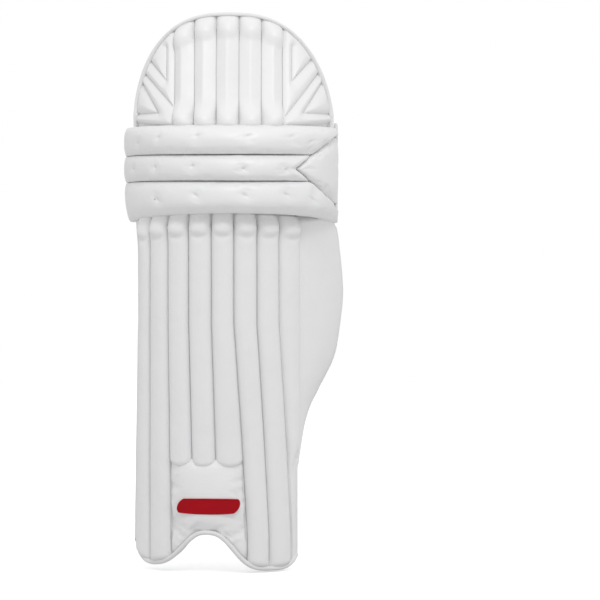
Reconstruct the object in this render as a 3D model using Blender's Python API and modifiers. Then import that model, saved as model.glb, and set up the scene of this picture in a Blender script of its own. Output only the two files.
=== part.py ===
"""Cricket leg pad, built from the pieces it is sewn together from.

Frame: +Z up the leg, -Y to the front, +X to the outer side of the leg, in metres.
The origin is the centre of the knee, on the axis of the leg that wears the pad.
The front of the pad follows a cylinder of one radius, whose apex moves back above and below the knee.
A place on it is an angle round that cylinder, a height, and an inset behind the front face.
"""
import math

import bmesh
import bpy
from mathutils import Vector

# ---- whole pad ----
FACE_RADIUS = 0.134
FACE_FRONT = -0.083
SHIN_CENTRE_X = -0.0075
DOME_CENTRE_X = 0.0065
SHIN_TOP = -0.061
SHIN_LEAN = 0.066
DOME_BOTTOM = 0.0545
DOME_SLOPE = 0.575
SIT = 0.0006
CORE_CLEARANCE = 0.0016

# ---- layers, as insets behind the front face ----
SEAM_INSET = 0.0085
COVER_THICKNESS = 0.0016
BOARD_INSET = 0.0130
BOARD_THICKNESS = 0.0050
BOARD_MARGIN = math.radians(2.5)
LINER_INSET = 0.0195
LINER_THICKNESS = 0.0090
BOLSTER_INSET = 0.0300
BOLSTER_THICKNESS = 0.0200
BOLSTER_Z = (-0.325, -0.095)
BOLSTER_HALF_ANGLE = math.radians(13)
BOLSTER_ANGLES = (math.radians(-30), math.radians(24))

# ---- shin ----
SHIN_CHANNELS = 8
# Seams from the inner edge to the wing: their angles at mid-shin, and how far they drift outward at the foot.
SEAM_ANGLES = [math.radians(turn) for turn in (-54.0, -45.6, -32.7, -19.7, -6.3, 6.6, 20.2, 34.2, 50.1)]
SEAM_DRIFTS = [math.radians(turn) for turn in (0.0, -0.8, 1.2, 2.6, 3.4, 7.8, 7.4, 8.5, 0.0)]
SEAM_DRIFT_Z = (-0.470, -0.343, -0.200)
SHIN_LEFT_ANGLE = SEAM_ANGLES[0]
SHIN_RIGHT_ANGLE = SEAM_ANGLES[-1]
LINER_LEFT_ANGLE = math.radians(-52.5)
FOOT_TUCK = math.radians(4.9)
FOOT_TUCK_Z = (-0.420, -0.372)
CHANNEL_GAP_ANGLE = math.radians(0.25)
CHANNEL_SQUEEZE = 0.55
INSTEP_TOP = -0.372
FOOT_BOTTOM = -0.5125
FOOT_CORNER = 0.024
ARCH_CENTRE_X = -0.027
ARCH_HALF_WIDTH = 0.041
ARCH_HEIGHT = 0.0445

# ---- outer wing ----
WING_TOP = -0.0725
WING_TOP_FALL = 0.013
WING_BOTTOM = -0.372
WING_THICKNESS = 0.0090
WING_SEAM_GAP = 0.0022

# ---- knee rolls ----
KNEE_CENTRE_X = 0.0035
ROLL_EDGES = (0.0530, 0.0163, -0.0168, -0.0585)
ROLL_PROUD = 0.0255
KNEE_RIM_ANGLE = math.radians(77)
KNEE_BOARD_ANGLE = math.radians(71)
KNEE_DROP = 0.0190
KNEE_SAG = 0.0105
WEDGE_APEX_X = 0.0819
WEDGE_APEX_Z = -0.001
WEDGE_FLARE = 1.34
KNEE_CUP_Z = (-0.050, 0.046)
KNEE_CUP_THICKNESS = 0.021

# ---- dome above the knee ----
DOME_CHANNELS = 5
DOME_CHANNEL_LEFT = math.radians(-36.1)
DOME_CHANNEL_ANGLE = math.radians(13.08)
DOME_BASE = 0.045
DOME_HALF_WIDTH = 0.1275
DOME_RISE = 0.1425
DOME_LEAN = 0.0050
DOME_POWER_ACROSS = 2.6
DOME_POWER_UP = 1.88
DOME_RIM_START = math.radians(6.5)
DOME_SETTLING = 8
DOME_LINER_REAR_Y = 0.031
DOME_LINER_TOP = 0.174
DOME_LINER_THICKNESS = 0.020
RIM_INSET = 0.0075
DOME_RIM_INSET = 0.0040
DOME_RIM_TAIL = 0.0070
DOME_SIDE_TOP_INNER = 0.155
DOME_SIDE_TOP_OUTER = 0.160

# ---- straps and pads behind the leg ----
STRAP_THICKNESS = 0.0028
PAD_CLOTH_THICKNESS = 0.0055
STRAP_START = math.radians(172)
CALF_STRAP_Z = (-0.233, -0.175)
LOWER_CALF_PAD_Z = (-0.266, -0.159)
UPPER_CALF_PAD_Z = (-0.156, -0.067)
CALF_FLAP_Z = (-0.328, -0.2675)
KNEE_STRAP_Z = (-0.060, -0.0265)
ANKLE_STRAP_Z = (-0.3835, -0.333)
INNER_FLAP_Z = (-0.439, -0.386)
PATCH_SIZE = (0.026, 0.060, 0.0016)
KEEPER_Z = (-0.192, -0.170)
KEEPER_TURN = math.radians(78)
KEEPER_HALF_TURN = math.radians(5)
KEEPER_THICKNESS = 0.0016
LOOP_CENTRE = (0.030, 0.0215)
LOOP_RADIUS = 0.017
LOOP_Z = (-0.376, -0.340)
LOOP_THICKNESS = 0.0022
LOOP_STEPS = 14

# ---- bands behind the leg: centre x, centre y, half width, half depth ----
KNEE_STRAP_OVAL = (0.003, 0.0225, 0.1190, 0.0110)
UPPER_CALF_PAD_OVAL = (0.003, 0.0, 0.0980, 0.0395)
LOWER_CALF_PAD_OVAL = (0.003, 0.0, 0.0990, 0.0420)
CALF_FLAP_OVAL = (0.003, 0.0040, 0.0980, 0.0250)
ANKLE_STRAP_OVAL = (-0.006, 0.0085, 0.0900, 0.0100)
INNER_FLAP_OVAL = (-0.004, 0.0125, 0.0950, 0.0060)

# ---- where each band's sewn end lets it swing ----
KNEE_STRAP_AXIS = Vector((-0.1170, 0.0235, -0.0432))
UPPER_CALF_PAD_AXIS = Vector((-0.0960, 0.0050, -0.1115))
CALF_STRAP_AXIS = Vector((-0.0970, 0.0055, -0.2040))
ANKLE_STRAP_AXIS = Vector((-0.0960, 0.0035, -0.3582))
INNER_FLAP_AXIS = Vector((-0.0990, 0.0050, -0.4125))
BINDING_RADIUS = 0.0032

# ---- finishes: colour, roughness ----
WHITE_LEATHER = ((0.86, 0.87, 0.89), 0.42)
WHITE_BINDING = ((0.90, 0.90, 0.91), 0.55)
WHITE_MESH = ((0.80, 0.80, 0.80), 0.85)
PALE_FELT = ((0.70, 0.695, 0.68), 0.95)
GREY_LINING = ((0.66, 0.69, 0.72), 0.90)
BOARD = ((0.55, 0.53, 0.50), 0.80)
CANE = ((0.72, 0.56, 0.34), 0.60)


# ================= small helpers =================

def ease(points, at):
    """Value on a smooth curve through a few (position, value) points, level beyond its ends."""
    if at <= points[0][0]:
        return points[0][1]
    if at >= points[-1][0]:
        return points[-1][1]
    slopes = []
    for index in range(len(points)):
        before = points[max(index - 1, 0)]
        after = points[min(index + 1, len(points) - 1)]
        slopes.append((after[1] - before[1]) / (after[0] - before[0]))
    index = 0
    while points[index + 1][0] < at:
        index += 1
    (left, low), (right, high) = points[index], points[index + 1]
    width = right - left
    t = (at - left) / width
    return (low * (2 * t**3 - 3 * t**2 + 1) + slopes[index] * width * (t**3 - 2 * t**2 + t)
            + high * (3 * t**2 - 2 * t**3) + slopes[index + 1] * width * (t**3 - t**2))


def mix(start, end, share):
    return start + (end - start) * share


def material(name, finish):
    colour, roughness = finish
    new = bpy.data.materials.new(name)
    new.use_nodes = True
    shader = new.node_tree.nodes["Principled BSDF"]
    shader.inputs["Base Color"].default_value = (*colour, 1.0)
    shader.inputs["Roughness"].default_value = roughness
    shader.inputs["Metallic"].default_value = 0.0
    return new


def finish_object(name, mesh, finish, pivot):
    """Add a mesh made in pad coordinates as a named sub-part, with its origin on its joint's axis."""
    if pivot is not None:
        for vertex in mesh.vertices:
            vertex.co -= pivot.location
    mesh.shade_smooth()
    mesh.set_sharp_from_angle(angle=math.radians(40))
    mesh.materials.append(material(name + "_finish", finish))
    part = bpy.data.objects.new(name, mesh)
    parts_collection.objects.link(part)
    if pivot is not None:
        part.parent = pivot
    return part


def pivot_empty(name, place):
    empty = bpy.data.objects.new(name, None)
    empty.location = place
    empty.empty_display_size = 0.02
    parts_collection.objects.link(empty)
    return empty


def grid_mesh(across, up):
    """A unit grid as a bmesh, with its corner at the origin."""
    grid = bmesh.new()
    bmesh.ops.create_grid(grid, x_segments=across, y_segments=up, size=0.5)
    bmesh.ops.translate(grid, verts=grid.verts, vec=(0.5, 0.5, 0.0))
    return grid


def sheet(name, surface, across, up, thickness, finish, pivot=None):
    """A skin of even thickness behind an open surface(u, v)."""
    grid = grid_mesh(across, up)
    for vertex in grid.verts:
        vertex.co = surface(vertex.co.x, vertex.co.y)
    mesh = bpy.data.meshes.new(name)
    grid.to_mesh(mesh)
    grid.free()
    part = finish_object(name, mesh, finish, pivot)
    solidify = part.modifiers.new("thickness", "SOLIDIFY")
    solidify.thickness = thickness
    solidify.offset = -1.0
    return part


def turn_outward(shape):
    """Point every face of a closed bmesh outward."""
    bmesh.ops.recalc_face_normals(shape, faces=shape.faces)
    if shape.calc_volume(signed=True) < 0.0:
        bmesh.ops.reverse_faces(shape, faces=shape.faces)


def block(name, surface, across, up, finish, pivot=None):
    """A closed solid between surface(u, v, 0), its inner face, and surface(u, v, 1), its outer face."""
    grid = grid_mesh(across, up)
    places = {vertex: (vertex.co.x, vertex.co.y) for vertex in grid.verts}
    inner = list(grid.verts)
    made = bmesh.ops.extrude_face_region(grid, geom=list(grid.faces), use_keep_orig=True)
    outer = [item for item in made["geom"] if isinstance(item, bmesh.types.BMVert)]
    outer_places = {vertex: (vertex.co.x, vertex.co.y) for vertex in outer}
    for vertex in inner:
        vertex.co = surface(*places[vertex], 0.0)
    for vertex in outer:
        vertex.co = surface(*outer_places[vertex], 1.0)
    turn_outward(grid)
    mesh = bpy.data.meshes.new(name)
    grid.to_mesh(mesh)
    grid.free()
    return finish_object(name, mesh, finish, pivot)


def tube(name, points, radius, finish, pivot=None):
    """A round binding or cord of one radius along points, with closed ends."""
    curve = bpy.data.curves.new(name, "CURVE")
    curve.dimensions = "3D"
    curve.bevel_depth = radius
    curve.bevel_resolution = 1
    curve.use_fill_caps = True
    spline = curve.splines.new("POLY")
    spline.points.add(len(points) - 1)
    for point, place in zip(spline.points, points):
        point.co = (*place, 1.0)
    guide = bpy.data.objects.new(name + "_path", curve)
    bpy.context.scene.collection.objects.link(guide)
    evaluated = guide.evaluated_get(bpy.context.evaluated_depsgraph_get())
    mesh = bpy.data.meshes.new_from_object(evaluated)
    mesh.materials.clear()
    bpy.data.objects.remove(guide)
    shape = bmesh.new()
    shape.from_mesh(mesh)
    bmesh.ops.remove_doubles(shape, verts=shape.verts, dist=0.00005)
    shape.to_mesh(mesh)
    shape.free()
    mesh.name = name
    return finish_object(name, mesh, finish, pivot)


# ================= the curved face of the pad =================

def centre_x(z):
    return ease(((SHIN_TOP, SHIN_CENTRE_X), (DOME_BOTTOM, DOME_CENTRE_X)), z)


def apex_y(z):
    """Front of the face at its apex: level at the knee, leaning back above and below it."""
    if z < SHIN_TOP:
        return FACE_FRONT + SHIN_LEAN * (SHIN_TOP - z)
    if z > DOME_BOTTOM:
        return FACE_FRONT + DOME_SLOPE * (z - DOME_BOTTOM)
    return FACE_FRONT


def face_point(angle, z, inset=0.0):
    radius = FACE_RADIUS - inset
    return Vector((
        centre_x(z) + radius * math.sin(angle),
        apex_y(z) + FACE_RADIUS - radius * math.cos(angle),
        z,
    ))


def outer_edge(z):
    """Angle of the shin's outer edge: upright beside the wing, turning inward below it."""
    low, high = FOOT_TUCK_Z
    return SHIN_RIGHT_ANGLE - FOOT_TUCK * ease(((low, 1.0), (high, 0.0)), z)


def foot_z(angle):
    """Lower edge of the shin: two rounded feet with the instep arch between them."""
    x = SHIN_CENTRE_X + FACE_RADIUS * math.sin(angle)
    left = SHIN_CENTRE_X + FACE_RADIUS * math.sin(SHIN_LEFT_ANGLE)
    right = SHIN_CENTRE_X + FACE_RADIUS * math.sin(outer_edge(FOOT_BOTTOM))
    bottom = ease(((-0.075, FOOT_BOTTOM + 0.005), (0.035, FOOT_BOTTOM)), x)
    arch = ARCH_HEIGHT * math.exp(-abs((x - ARCH_CENTRE_X) / ARCH_HALF_WIDTH) ** 2.6)
    into_corner = max(left + FOOT_CORNER - x, x - right + 0.5 * FOOT_CORNER, 0.0) / FOOT_CORNER
    corner = FOOT_CORNER * (1.0 - math.sqrt(max(0.0, 1.0 - min(into_corner, 1.0) ** 2)))
    return bottom + arch + corner


def dome_top_z(x):
    """Upper edge of the dome, a square-shouldered ellipse that leans to the inner side."""
    share = 1.0
    for _ in range(DOME_SETTLING):
        across = min(abs(x - DOME_CENTRE_X + DOME_LEAN * share) / DOME_HALF_WIDTH, 1.0)
        share = (1.0 - across**DOME_POWER_ACROSS) ** (1.0 / DOME_POWER_UP)
    return DOME_BASE + DOME_RISE * share


def dome_edge_x(z, side):
    """Outline of the dome at a height, on the left (-1) or the right (1)."""
    share = min(max((z - DOME_BASE) / DOME_RISE, 0.0), 1.0)
    half = DOME_HALF_WIDTH * (1.0 - share**DOME_POWER_UP) ** (1.0 / DOME_POWER_ACROSS)
    return DOME_CENTRE_X - DOME_LEAN * share + side * half


def knee_drop(angle):
    """How far the lower edge of the knee falls towards its rear rims."""
    return KNEE_DROP * (angle / KNEE_RIM_ANGLE) ** 2


def knee_sag(angle):
    """How far the rest of the knee falls towards its rear rims."""
    return KNEE_SAG * (angle / KNEE_RIM_ANGLE) ** 2


def crown(t):
    """Height of a stuffed channel across its width, 0 at its seams and 1 in the middle."""
    return max(0.0, 1.0 - abs(2.0 * t - 1.0) ** 2.4)


# ================= shin =================

def channel_side(index, z):
    """Angle of a seam at a height: upright at mid-shin, drifting outward towards the foot."""
    foot, low, middle = SEAM_DRIFT_Z
    return SEAM_ANGLES[index] + SEAM_DRIFTS[index] * ease(((foot, 1.0), (low, 0.57), (middle, 0.0)), z)


def channel_bottom(index, angle):
    if index in (2, 3, 4):
        return INSTEP_TOP
    if index == 7:
        return INSTEP_TOP - 0.006
    return foot_z(angle) + 0.004


def channel_squeeze(z):
    """The outermost channel runs out beside the instep."""
    return ease(((INSTEP_TOP, CHANNEL_SQUEEZE), (INSTEP_TOP + 0.06, 1.0)), z)


def shin_angle(index, share, z):
    left = channel_side(index, z) + CHANNEL_GAP_ANGLE
    right = channel_side(index + 1, z) - CHANNEL_GAP_ANGLE
    if index == 7:
        right = mix(left, right, channel_squeeze(z))
    return mix(left, right, share)


def shin_column(index, u, v):
    """Angle and height of a place in a shin channel."""
    bottom = channel_bottom(index, shin_angle(index, u, FOOT_BOTTOM))
    z = mix(bottom, SHIN_TOP - 0.003 - knee_drop(shin_angle(index, u, SHIN_TOP)), v)
    return shin_angle(index, u, z), z


def channel_inset(index, u, z):
    """Inset of a channel's cover: flush in the middle, sunk at its seams, flatter where it narrows."""
    fullness = channel_squeeze(z) if index == 7 else 1.0
    return SEAM_INSET * (1.0 - crown(u) * fullness)


def shin_channel(index):
    def surface(u, v):
        angle, z = shin_column(index, u, v)
        return face_point(angle, z, channel_inset(index, u, z))
    sheet(f"shin_channel_{index + 1}", surface, 6, 12, COVER_THICKNESS, WHITE_LEATHER)


def shin_core(index):
    """Split cane and foam that stiffens a channel, between its cover and the board."""
    lowest = 0.30 if index == 7 else 0.02
    margin = 0.25 if index == 0 else 0.16

    def surface(u, v, side):
        inside = mix(margin, 1.0 - margin, u)
        angle, z = shin_column(index, inside, mix(lowest, 0.98, v))
        outer_inset = channel_inset(index, inside, z) + COVER_THICKNESS + CORE_CLEARANCE
        return face_point(angle, z, mix(BOARD_INSET - SIT, outer_inset, side))
    block(f"shin_cane_{index + 1}", surface, 4, 10, CANE)


def shin_board():
    def surface(u, v):
        right = outer_edge(mix(FOOT_BOTTOM, SHIN_TOP, v)) - BOARD_MARGIN
        angle = mix(SHIN_LEFT_ANGLE + BOARD_MARGIN, right, u)
        z = mix(foot_z(angle) + 0.006, SHIN_TOP - 0.003 - knee_drop(angle), v)
        return face_point(angle, z, BOARD_INSET)
    sheet("shin_board", surface, 16, 12, BOARD_THICKNESS, BOARD)


def shin_liner():
    def surface(u, v, side):
        right = outer_edge(mix(FOOT_BOTTOM, SHIN_TOP, v)) - BOARD_MARGIN
        angle = mix(LINER_LEFT_ANGLE, right, u)
        z = mix(foot_z(angle) + 0.004, SHIN_TOP - 0.003 - knee_drop(angle), v)
        return face_point(angle, z, LINER_INSET + LINER_THICKNESS * (1.0 - side))
    block("shin_liner", surface, 14, 12, GREY_LINING)


def shin_bolster(name, angle):
    """Upright foam bolster that keeps the shin off the face of the pad."""
    def surface(u, v, side):
        bulge = 0.35 + 0.65 * crown(u)
        z = mix(BOLSTER_Z[0], BOLSTER_Z[1], v)
        inset = BOLSTER_INSET + BOLSTER_THICKNESS * bulge * (1.0 - side)
        return face_point(angle + mix(-BOLSTER_HALF_ANGLE, BOLSTER_HALF_ANGLE, u), z, inset)
    block(name, surface, 5, 8, WHITE_MESH)


def shin_side_wall():
    """Covered side of the pad down the inner edge of the shin."""
    def surface(u, v, side):
        z = mix(FOOT_BOTTOM + 0.040, SHIN_TOP - 0.004 - knee_drop(SHIN_LEFT_ANGLE), v)
        angle = mix(LINER_LEFT_ANGLE, SHIN_LEFT_ANGLE, u**2) - math.radians(0.4 + 0.6 * side)
        return face_point(angle, z, mix(LINER_INSET + LINER_THICKNESS, RIM_INSET + BINDING_RADIUS + SIT, u))
    block("shin_side_wall", surface, 2, 12, WHITE_LEATHER)


def instep_panel():
    def surface(u, v, side):
        angle_low = mix(channel_side(2, FOOT_BOTTOM), channel_side(5, FOOT_BOTTOM), u)
        z = mix(foot_z(angle_low) + 0.0055, INSTEP_TOP - 0.0012, v)
        angle = mix(channel_side(2, z) + CHANNEL_GAP_ANGLE, channel_side(5, z) - CHANNEL_GAP_ANGLE, u)
        dome = 0.0045 * crown(u) * crown(v)
        outer_inset = SEAM_INSET - 0.002 - dome
        return face_point(angle, z, mix(BOARD_INSET - SIT, outer_inset, side))
    block("instep_panel", surface, 8, 7, WHITE_LEATHER)


def outer_margin():
    """Flat stitched strip between the seventh channel and the lower outer edge."""
    def surface(u, v, side):
        z = mix(FOOT_BOTTOM + 0.018, INSTEP_TOP - 0.0075, v)
        left = channel_side(7, z) + CHANNEL_GAP_ANGLE
        angle = mix(left, outer_edge(z), u)
        return face_point(angle, z, mix(BOARD_INSET - SIT, SEAM_INSET - 0.001, side))
    block("outer_margin", surface, 3, 8, WHITE_LEATHER)


# ================= outer wing =================

def wing_reach(z):
    return ease((
        (WING_BOTTOM, 0.014), (-0.335, 0.028), (-0.290, 0.044), (-0.250, 0.064),
        (-0.165, 0.083), (-0.100, 0.074), (WING_TOP, 0.068),
    ), z)


def wing_heading(z):
    """Direction of the wing away from the front plane."""
    return math.radians(ease(((WING_BOTTOM, 78.0), (-0.300, 60.0), (-0.240, 52.0), (WING_TOP, 50.0)), z))


def wing_seam(z, inset=0.0):
    point = face_point(SHIN_RIGHT_ANGLE, z, SEAM_INSET + inset)
    heading = wing_heading(z)
    return point + WING_SEAM_GAP * Vector((math.cos(heading), math.sin(heading), 0.0))


def wing_point(u, z, inset=0.0):
    heading = wing_heading(z)
    along = Vector((math.cos(heading), math.sin(heading), 0.0))
    outward = Vector((along.y, -along.x, 0.0))
    reach = wing_reach(z)
    bow = 0.006 * math.sin(math.pi * u) * min(1.0, reach / 0.06)
    return wing_seam(z) + along * reach * u + outward * (bow - inset)


def outer_wing(pivot):
    def surface(u, v, side):
        z = mix(WING_BOTTOM, WING_TOP - WING_TOP_FALL * u, v)
        thinning = 1.0 - 0.35 * (2.0 * u - 1.0) ** 2
        return wing_point(u, z, WING_THICKNESS * thinning * (1.0 - side))
    block("outer_wing", surface, 6, 14, WHITE_LEATHER, pivot)

    edge = []
    steps = 20
    for step in range(steps + 1):
        z = mix(WING_TOP - WING_TOP_FALL - 0.002, WING_BOTTOM + 0.004, step / steps)
        heading = wing_heading(z)
        beyond = BINDING_RADIUS + SIT
        edge.append(wing_point(1.0, z, 0.35 * WING_THICKNESS)
                    + beyond * Vector((math.cos(heading), math.sin(heading), 0.0)))
    tube("wing_binding", edge, BINDING_RADIUS, WHITE_BINDING, pivot)


# ================= knee =================

def knee_point(angle, z, inset):
    """Place on the knee, where whatever stands proud of the face does so mostly at the front."""
    if inset < 0.0:
        inset *= 0.22 + 0.78 * math.cos(angle) ** 2
    radius = FACE_RADIUS - inset
    return Vector((
        KNEE_CENTRE_X + radius * math.sin(angle),
        FACE_FRONT + FACE_RADIUS - radius * math.cos(angle),
        z - knee_sag(angle),
    ))


def wedge_edge_angle(z):
    """Sloping edge of the outer wedge, where the rolls end."""
    x = WEDGE_APEX_X + WEDGE_FLARE * abs(z - WEDGE_APEX_Z)
    share = (x - KNEE_CENTRE_X) / (FACE_RADIUS + 0.3 * ROLL_PROUD)
    return min(math.asin(min(share, 1.0)), KNEE_RIM_ANGLE - math.radians(1.0))


def knee_roll(index, name):
    top = ROLL_EDGES[index] - SIT
    bottom = ROLL_EDGES[index + 1] + SIT

    def surface(u, v, side):
        z = mix(bottom, top, v)
        angle = mix(-KNEE_RIM_ANGLE, wedge_edge_angle(z), u)
        if index == 2:
            z -= (knee_drop(angle) - knee_sag(angle)) * (1.0 - v)
        swell = 1.0 - abs(2.0 * v - 1.0) ** 2.2
        proud = -ROLL_PROUD * mix(0.42, 1.0, swell)
        return knee_point(angle, z, mix(BOARD_INSET - 0.0045, proud, side))
    block(name, surface, 14, 6, WHITE_LEATHER)


def knee_wedge():
    """Smooth side piece that the three rolls run into on the outer side."""
    reach = (KNEE_CENTRE_X + FACE_RADIUS - WEDGE_APEX_X) / WEDGE_FLARE

    def surface(u, v, side):
        z = mix(WEDGE_APEX_Z - reach, WEDGE_APEX_Z + 0.93 * reach, v)
        angle = mix(wedge_edge_angle(z) + math.radians(0.9), KNEE_RIM_ANGLE, u)
        proud = -0.80 * ROLL_PROUD * (1.0 - 0.5 * abs(2.0 * v - 1.0) ** 3)
        return knee_point(angle, z, mix(BOARD_INSET - 0.0045, proud, side))
    block("knee_wedge", surface, 6, 8, WHITE_LEATHER)


def knee_board():
    def surface(u, v):
        angle = mix(-KNEE_BOARD_ANGLE, KNEE_BOARD_ANGLE, u)
        z = mix(SHIN_TOP + 0.001 + knee_sag(angle), DOME_BOTTOM - 0.005, v)
        return knee_point(angle, z, BOARD_INSET)
    sheet("knee_board", surface, 16, 4, BOARD_THICKNESS, BOARD)


def knee_cup():
    """Padded cup that locates the knee, behind the rolls."""
    def surface(u, v, side):
        angle = mix(-KNEE_BOARD_ANGLE, KNEE_BOARD_ANGLE, u)
        bulge = 0.5 + 0.5 * crown(v)
        z = mix(KNEE_CUP_Z[0], KNEE_CUP_Z[1], v)
        return knee_point(angle, z, LINER_INSET + KNEE_CUP_THICKNESS * bulge * (1.0 - side))
    block("knee_cup", surface, 12, 5, WHITE_MESH)


def knee_binding(name, side):
    """Piping down the rear rim of the knee."""
    rim = side * (KNEE_RIM_ANGLE + math.radians(2.2))
    low = ROLL_EDGES[3] - KNEE_DROP + KNEE_SAG
    points = [knee_point(rim, mix(low, ROLL_EDGES[0], step / 6), -0.002) for step in range(7)]
    tube(name, points, BINDING_RADIUS * 0.9, WHITE_BINDING)


# ================= dome =================

def dome_channel_angle(index, share):
    left = DOME_CHANNEL_LEFT + index * DOME_CHANNEL_ANGLE + CHANNEL_GAP_ANGLE
    return mix(left, left + DOME_CHANNEL_ANGLE - 2 * CHANNEL_GAP_ANGLE, share)


def dome_column(index, u, v):
    angle = dome_channel_angle(index, u)
    top = dome_top_z(DOME_CENTRE_X + FACE_RADIUS * math.sin(angle)) - 0.0055
    return angle, mix(DOME_BOTTOM + 0.0008, top, v)


def dome_bulb(v):
    """Extra height of the stuffed ends of a dome channel."""
    lower = math.exp(-((v - 0.07) / 0.08) ** 2)
    upper = math.exp(-((v - 0.93) / 0.08) ** 2)
    return 0.0045 * max(lower, upper)


def dome_channel(index):
    def surface(u, v):
        angle, z = dome_column(index, u, v)
        lift = dome_bulb(v) * crown(u)
        return face_point(angle, z, SEAM_INSET * (1.0 - crown(u)) - lift)
    sheet(f"dome_channel_{index + 1}", surface, 6, 10, COVER_THICKNESS, WHITE_LEATHER)


def dome_core(index):
    def surface(u, v, side):
        inside = mix(0.12, 0.88, u)
        angle, z = dome_column(index, inside, mix(0.03, 0.96, v))
        outer_inset = SEAM_INSET * (1.0 - crown(inside)) + COVER_THICKNESS + 4.0 * SIT
        return face_point(angle, z, mix(BOARD_INSET - SIT, outer_inset, side))
    block(f"dome_cane_{index + 1}", surface, 4, 6, CANE)


def edge_angle(x, z, inset=0.0):
    return math.asin(max(-1.0, min(1.0, (x - centre_x(z)) / (FACE_RADIUS - inset))))


def dome_side(name, side):
    """Quilted panel between the outer channel and the rim of the dome."""
    first = DOME_CHANNEL_LEFT if side < 0 else DOME_CHANNEL_LEFT + DOME_CHANNELS * DOME_CHANNEL_ANGLE
    top = DOME_SIDE_TOP_INNER if side < 0 else DOME_SIDE_TOP_OUTER

    def surface(u, v, layer):
        z = mix(DOME_BOTTOM + 0.0008, top, v)
        rim = edge_angle(dome_edge_x(z, side), z)
        start = first + side * CHANNEL_GAP_ANGLE
        share = u if side > 0 else 1.0 - u
        angle = mix(start, rim - side * math.radians(2.2), share)
        z -= knee_sag(angle) * (1.0 - v)
        puff = 0.004 * crown(u)
        return face_point(angle, z, mix(BOARD_INSET - SIT, SEAM_INSET - 0.003 - puff, layer))
    block(name, surface, 6, 8, WHITE_LEATHER)


def dome_board():
    def surface(u, v):
        z = mix(DOME_BOTTOM + 0.0075, DOME_SIDE_TOP_OUTER + 0.006, v)
        left = edge_angle(dome_edge_x(z, -1) + 0.012, z, BOARD_INSET)
        right = edge_angle(dome_edge_x(z, 1) - 0.012, z, BOARD_INSET)
        return face_point(mix(left, right, u), z, BOARD_INSET)
    sheet("dome_board", surface, 16, 8, BOARD_THICKNESS * 0.8, BOARD)


def dome_liner():
    """Padded rear liner of the dome, which stands behind its rim."""
    def surface(u, v, side):
        z = mix(DOME_BOTTOM + 0.004, DOME_LINER_TOP, v)
        inset = LINER_INSET + 0.0015 + DOME_LINER_THICKNESS * (1.0 - side)
        to_rear = math.acos((FACE_RADIUS + apex_y(z) - DOME_LINER_REAR_Y) / (FACE_RADIUS - LINER_INSET))
        left = max(edge_angle(dome_edge_x(z, -1) + 0.010, z, LINER_INSET), -to_rear)
        right = min(edge_angle(dome_edge_x(z, 1) - 0.010, z, LINER_INSET), to_rear)
        return face_point(mix(left, right, u), z, inset)
    block("dome_liner", surface, 14, 8, WHITE_MESH)


def rim_point(turn):
    """Place on the bound rim of the dome: turn runs from the left end, over the top, to the right end."""
    side = -1 if math.cos(turn) > 0.0 else 1
    z = DOME_BASE + DOME_RISE * math.sin(turn) ** (2.0 / DOME_POWER_UP)
    return face_point(edge_angle(dome_edge_x(z, side), z), z, DOME_RIM_INSET)


def dome_binding():
    steps = 28
    points = [rim_point(mix(DOME_RIM_START, math.pi - DOME_RIM_START, step / steps)) for step in range(steps + 1)]
    below = Vector((0.0, 0.0, -DOME_RIM_TAIL))
    points = [points[0] + below] + points + [points[-1] + below]
    tube("dome_binding", points, BINDING_RADIUS, WHITE_BINDING)


# ================= edge bindings =================

def foot_binding():
    """Bound lower edge, from the inner side, round both feet and up the outer side to the wing."""
    corner = math.radians(1.8)
    steps = 36
    top = SHIN_TOP - 0.006 - knee_drop(SHIN_LEFT_ANGLE)
    points = [face_point(SHIN_LEFT_ANGLE - corner, mix(top, FOOT_BOTTOM + 0.045, step / 6), RIM_INSET)
              for step in range(7)]
    for step in range(steps + 1):
        angle = mix(SHIN_LEFT_ANGLE - corner, outer_edge(FOOT_BOTTOM) + corner, step / steps)
        points.append(face_point(angle, foot_z(angle) - 0.0005, RIM_INSET))
    low = FOOT_BOTTOM + 0.030
    for step in range(6):
        z = mix(low, WING_BOTTOM - 0.006, step / 5)
        points.append(face_point(outer_edge(z) + corner, z, RIM_INSET))
    tube("foot_binding", points, BINDING_RADIUS, WHITE_BINDING)


# ================= straps and pads behind the leg =================

def band_point(oval, turn, z, outward=0.0):
    """Place on a band round the back of the leg: an oval (centre x, centre y, half width, half depth)."""
    x, y, half_width, half_depth = oval
    return Vector((x + (half_width + outward) * math.cos(turn), y + (half_depth + outward) * math.sin(turn), z))


def band(name, oval, z_range, turns, thickness, finish, pivot, steps=16, taper=0.0):
    """A flat band from its sewn inner end round the back of the leg, narrowing by taper to its free end."""
    middle = 0.5 * (z_range[0] + z_range[1])
    half = 0.5 * (z_range[1] - z_range[0])

    def surface(u, v, side):
        turn = mix(turns[0], turns[1], u)
        narrow = 1.0 - taper * u**3
        z = middle + half * narrow * (2.0 * v - 1.0)
        return band_point(oval, turn, z, thickness * side)
    return block(name, surface, steps, 3, finish, pivot)


def plate(name, centre, along, up, size, finish, pivot=None):
    """A flat rectangular patch: size is along, up and through."""
    shape = bmesh.new()
    bmesh.ops.create_cube(shape, size=1.0)
    through = along.cross(up)
    for vertex in shape.verts:
        place = vertex.co
        vertex.co = centre + along * place.x * size[0] + up * place.y * size[1] + through * place.z * size[2]
    turn_outward(shape)
    mesh = bpy.data.meshes.new(name)
    shape.to_mesh(mesh)
    shape.free()
    return finish_object(name, mesh, finish, pivot)


def knee_strap(pivot):
    band("knee_strap", KNEE_STRAP_OVAL, KNEE_STRAP_Z, (STRAP_START, math.radians(10)), STRAP_THICKNESS,
         PALE_FELT, pivot)


def upper_calf_pad(pivot):
    band("upper_calf_pad", UPPER_CALF_PAD_OVAL, UPPER_CALF_PAD_Z, (STRAP_START, math.radians(26)),
         PAD_CLOTH_THICKNESS, WHITE_MESH, pivot, taper=0.10)


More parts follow.
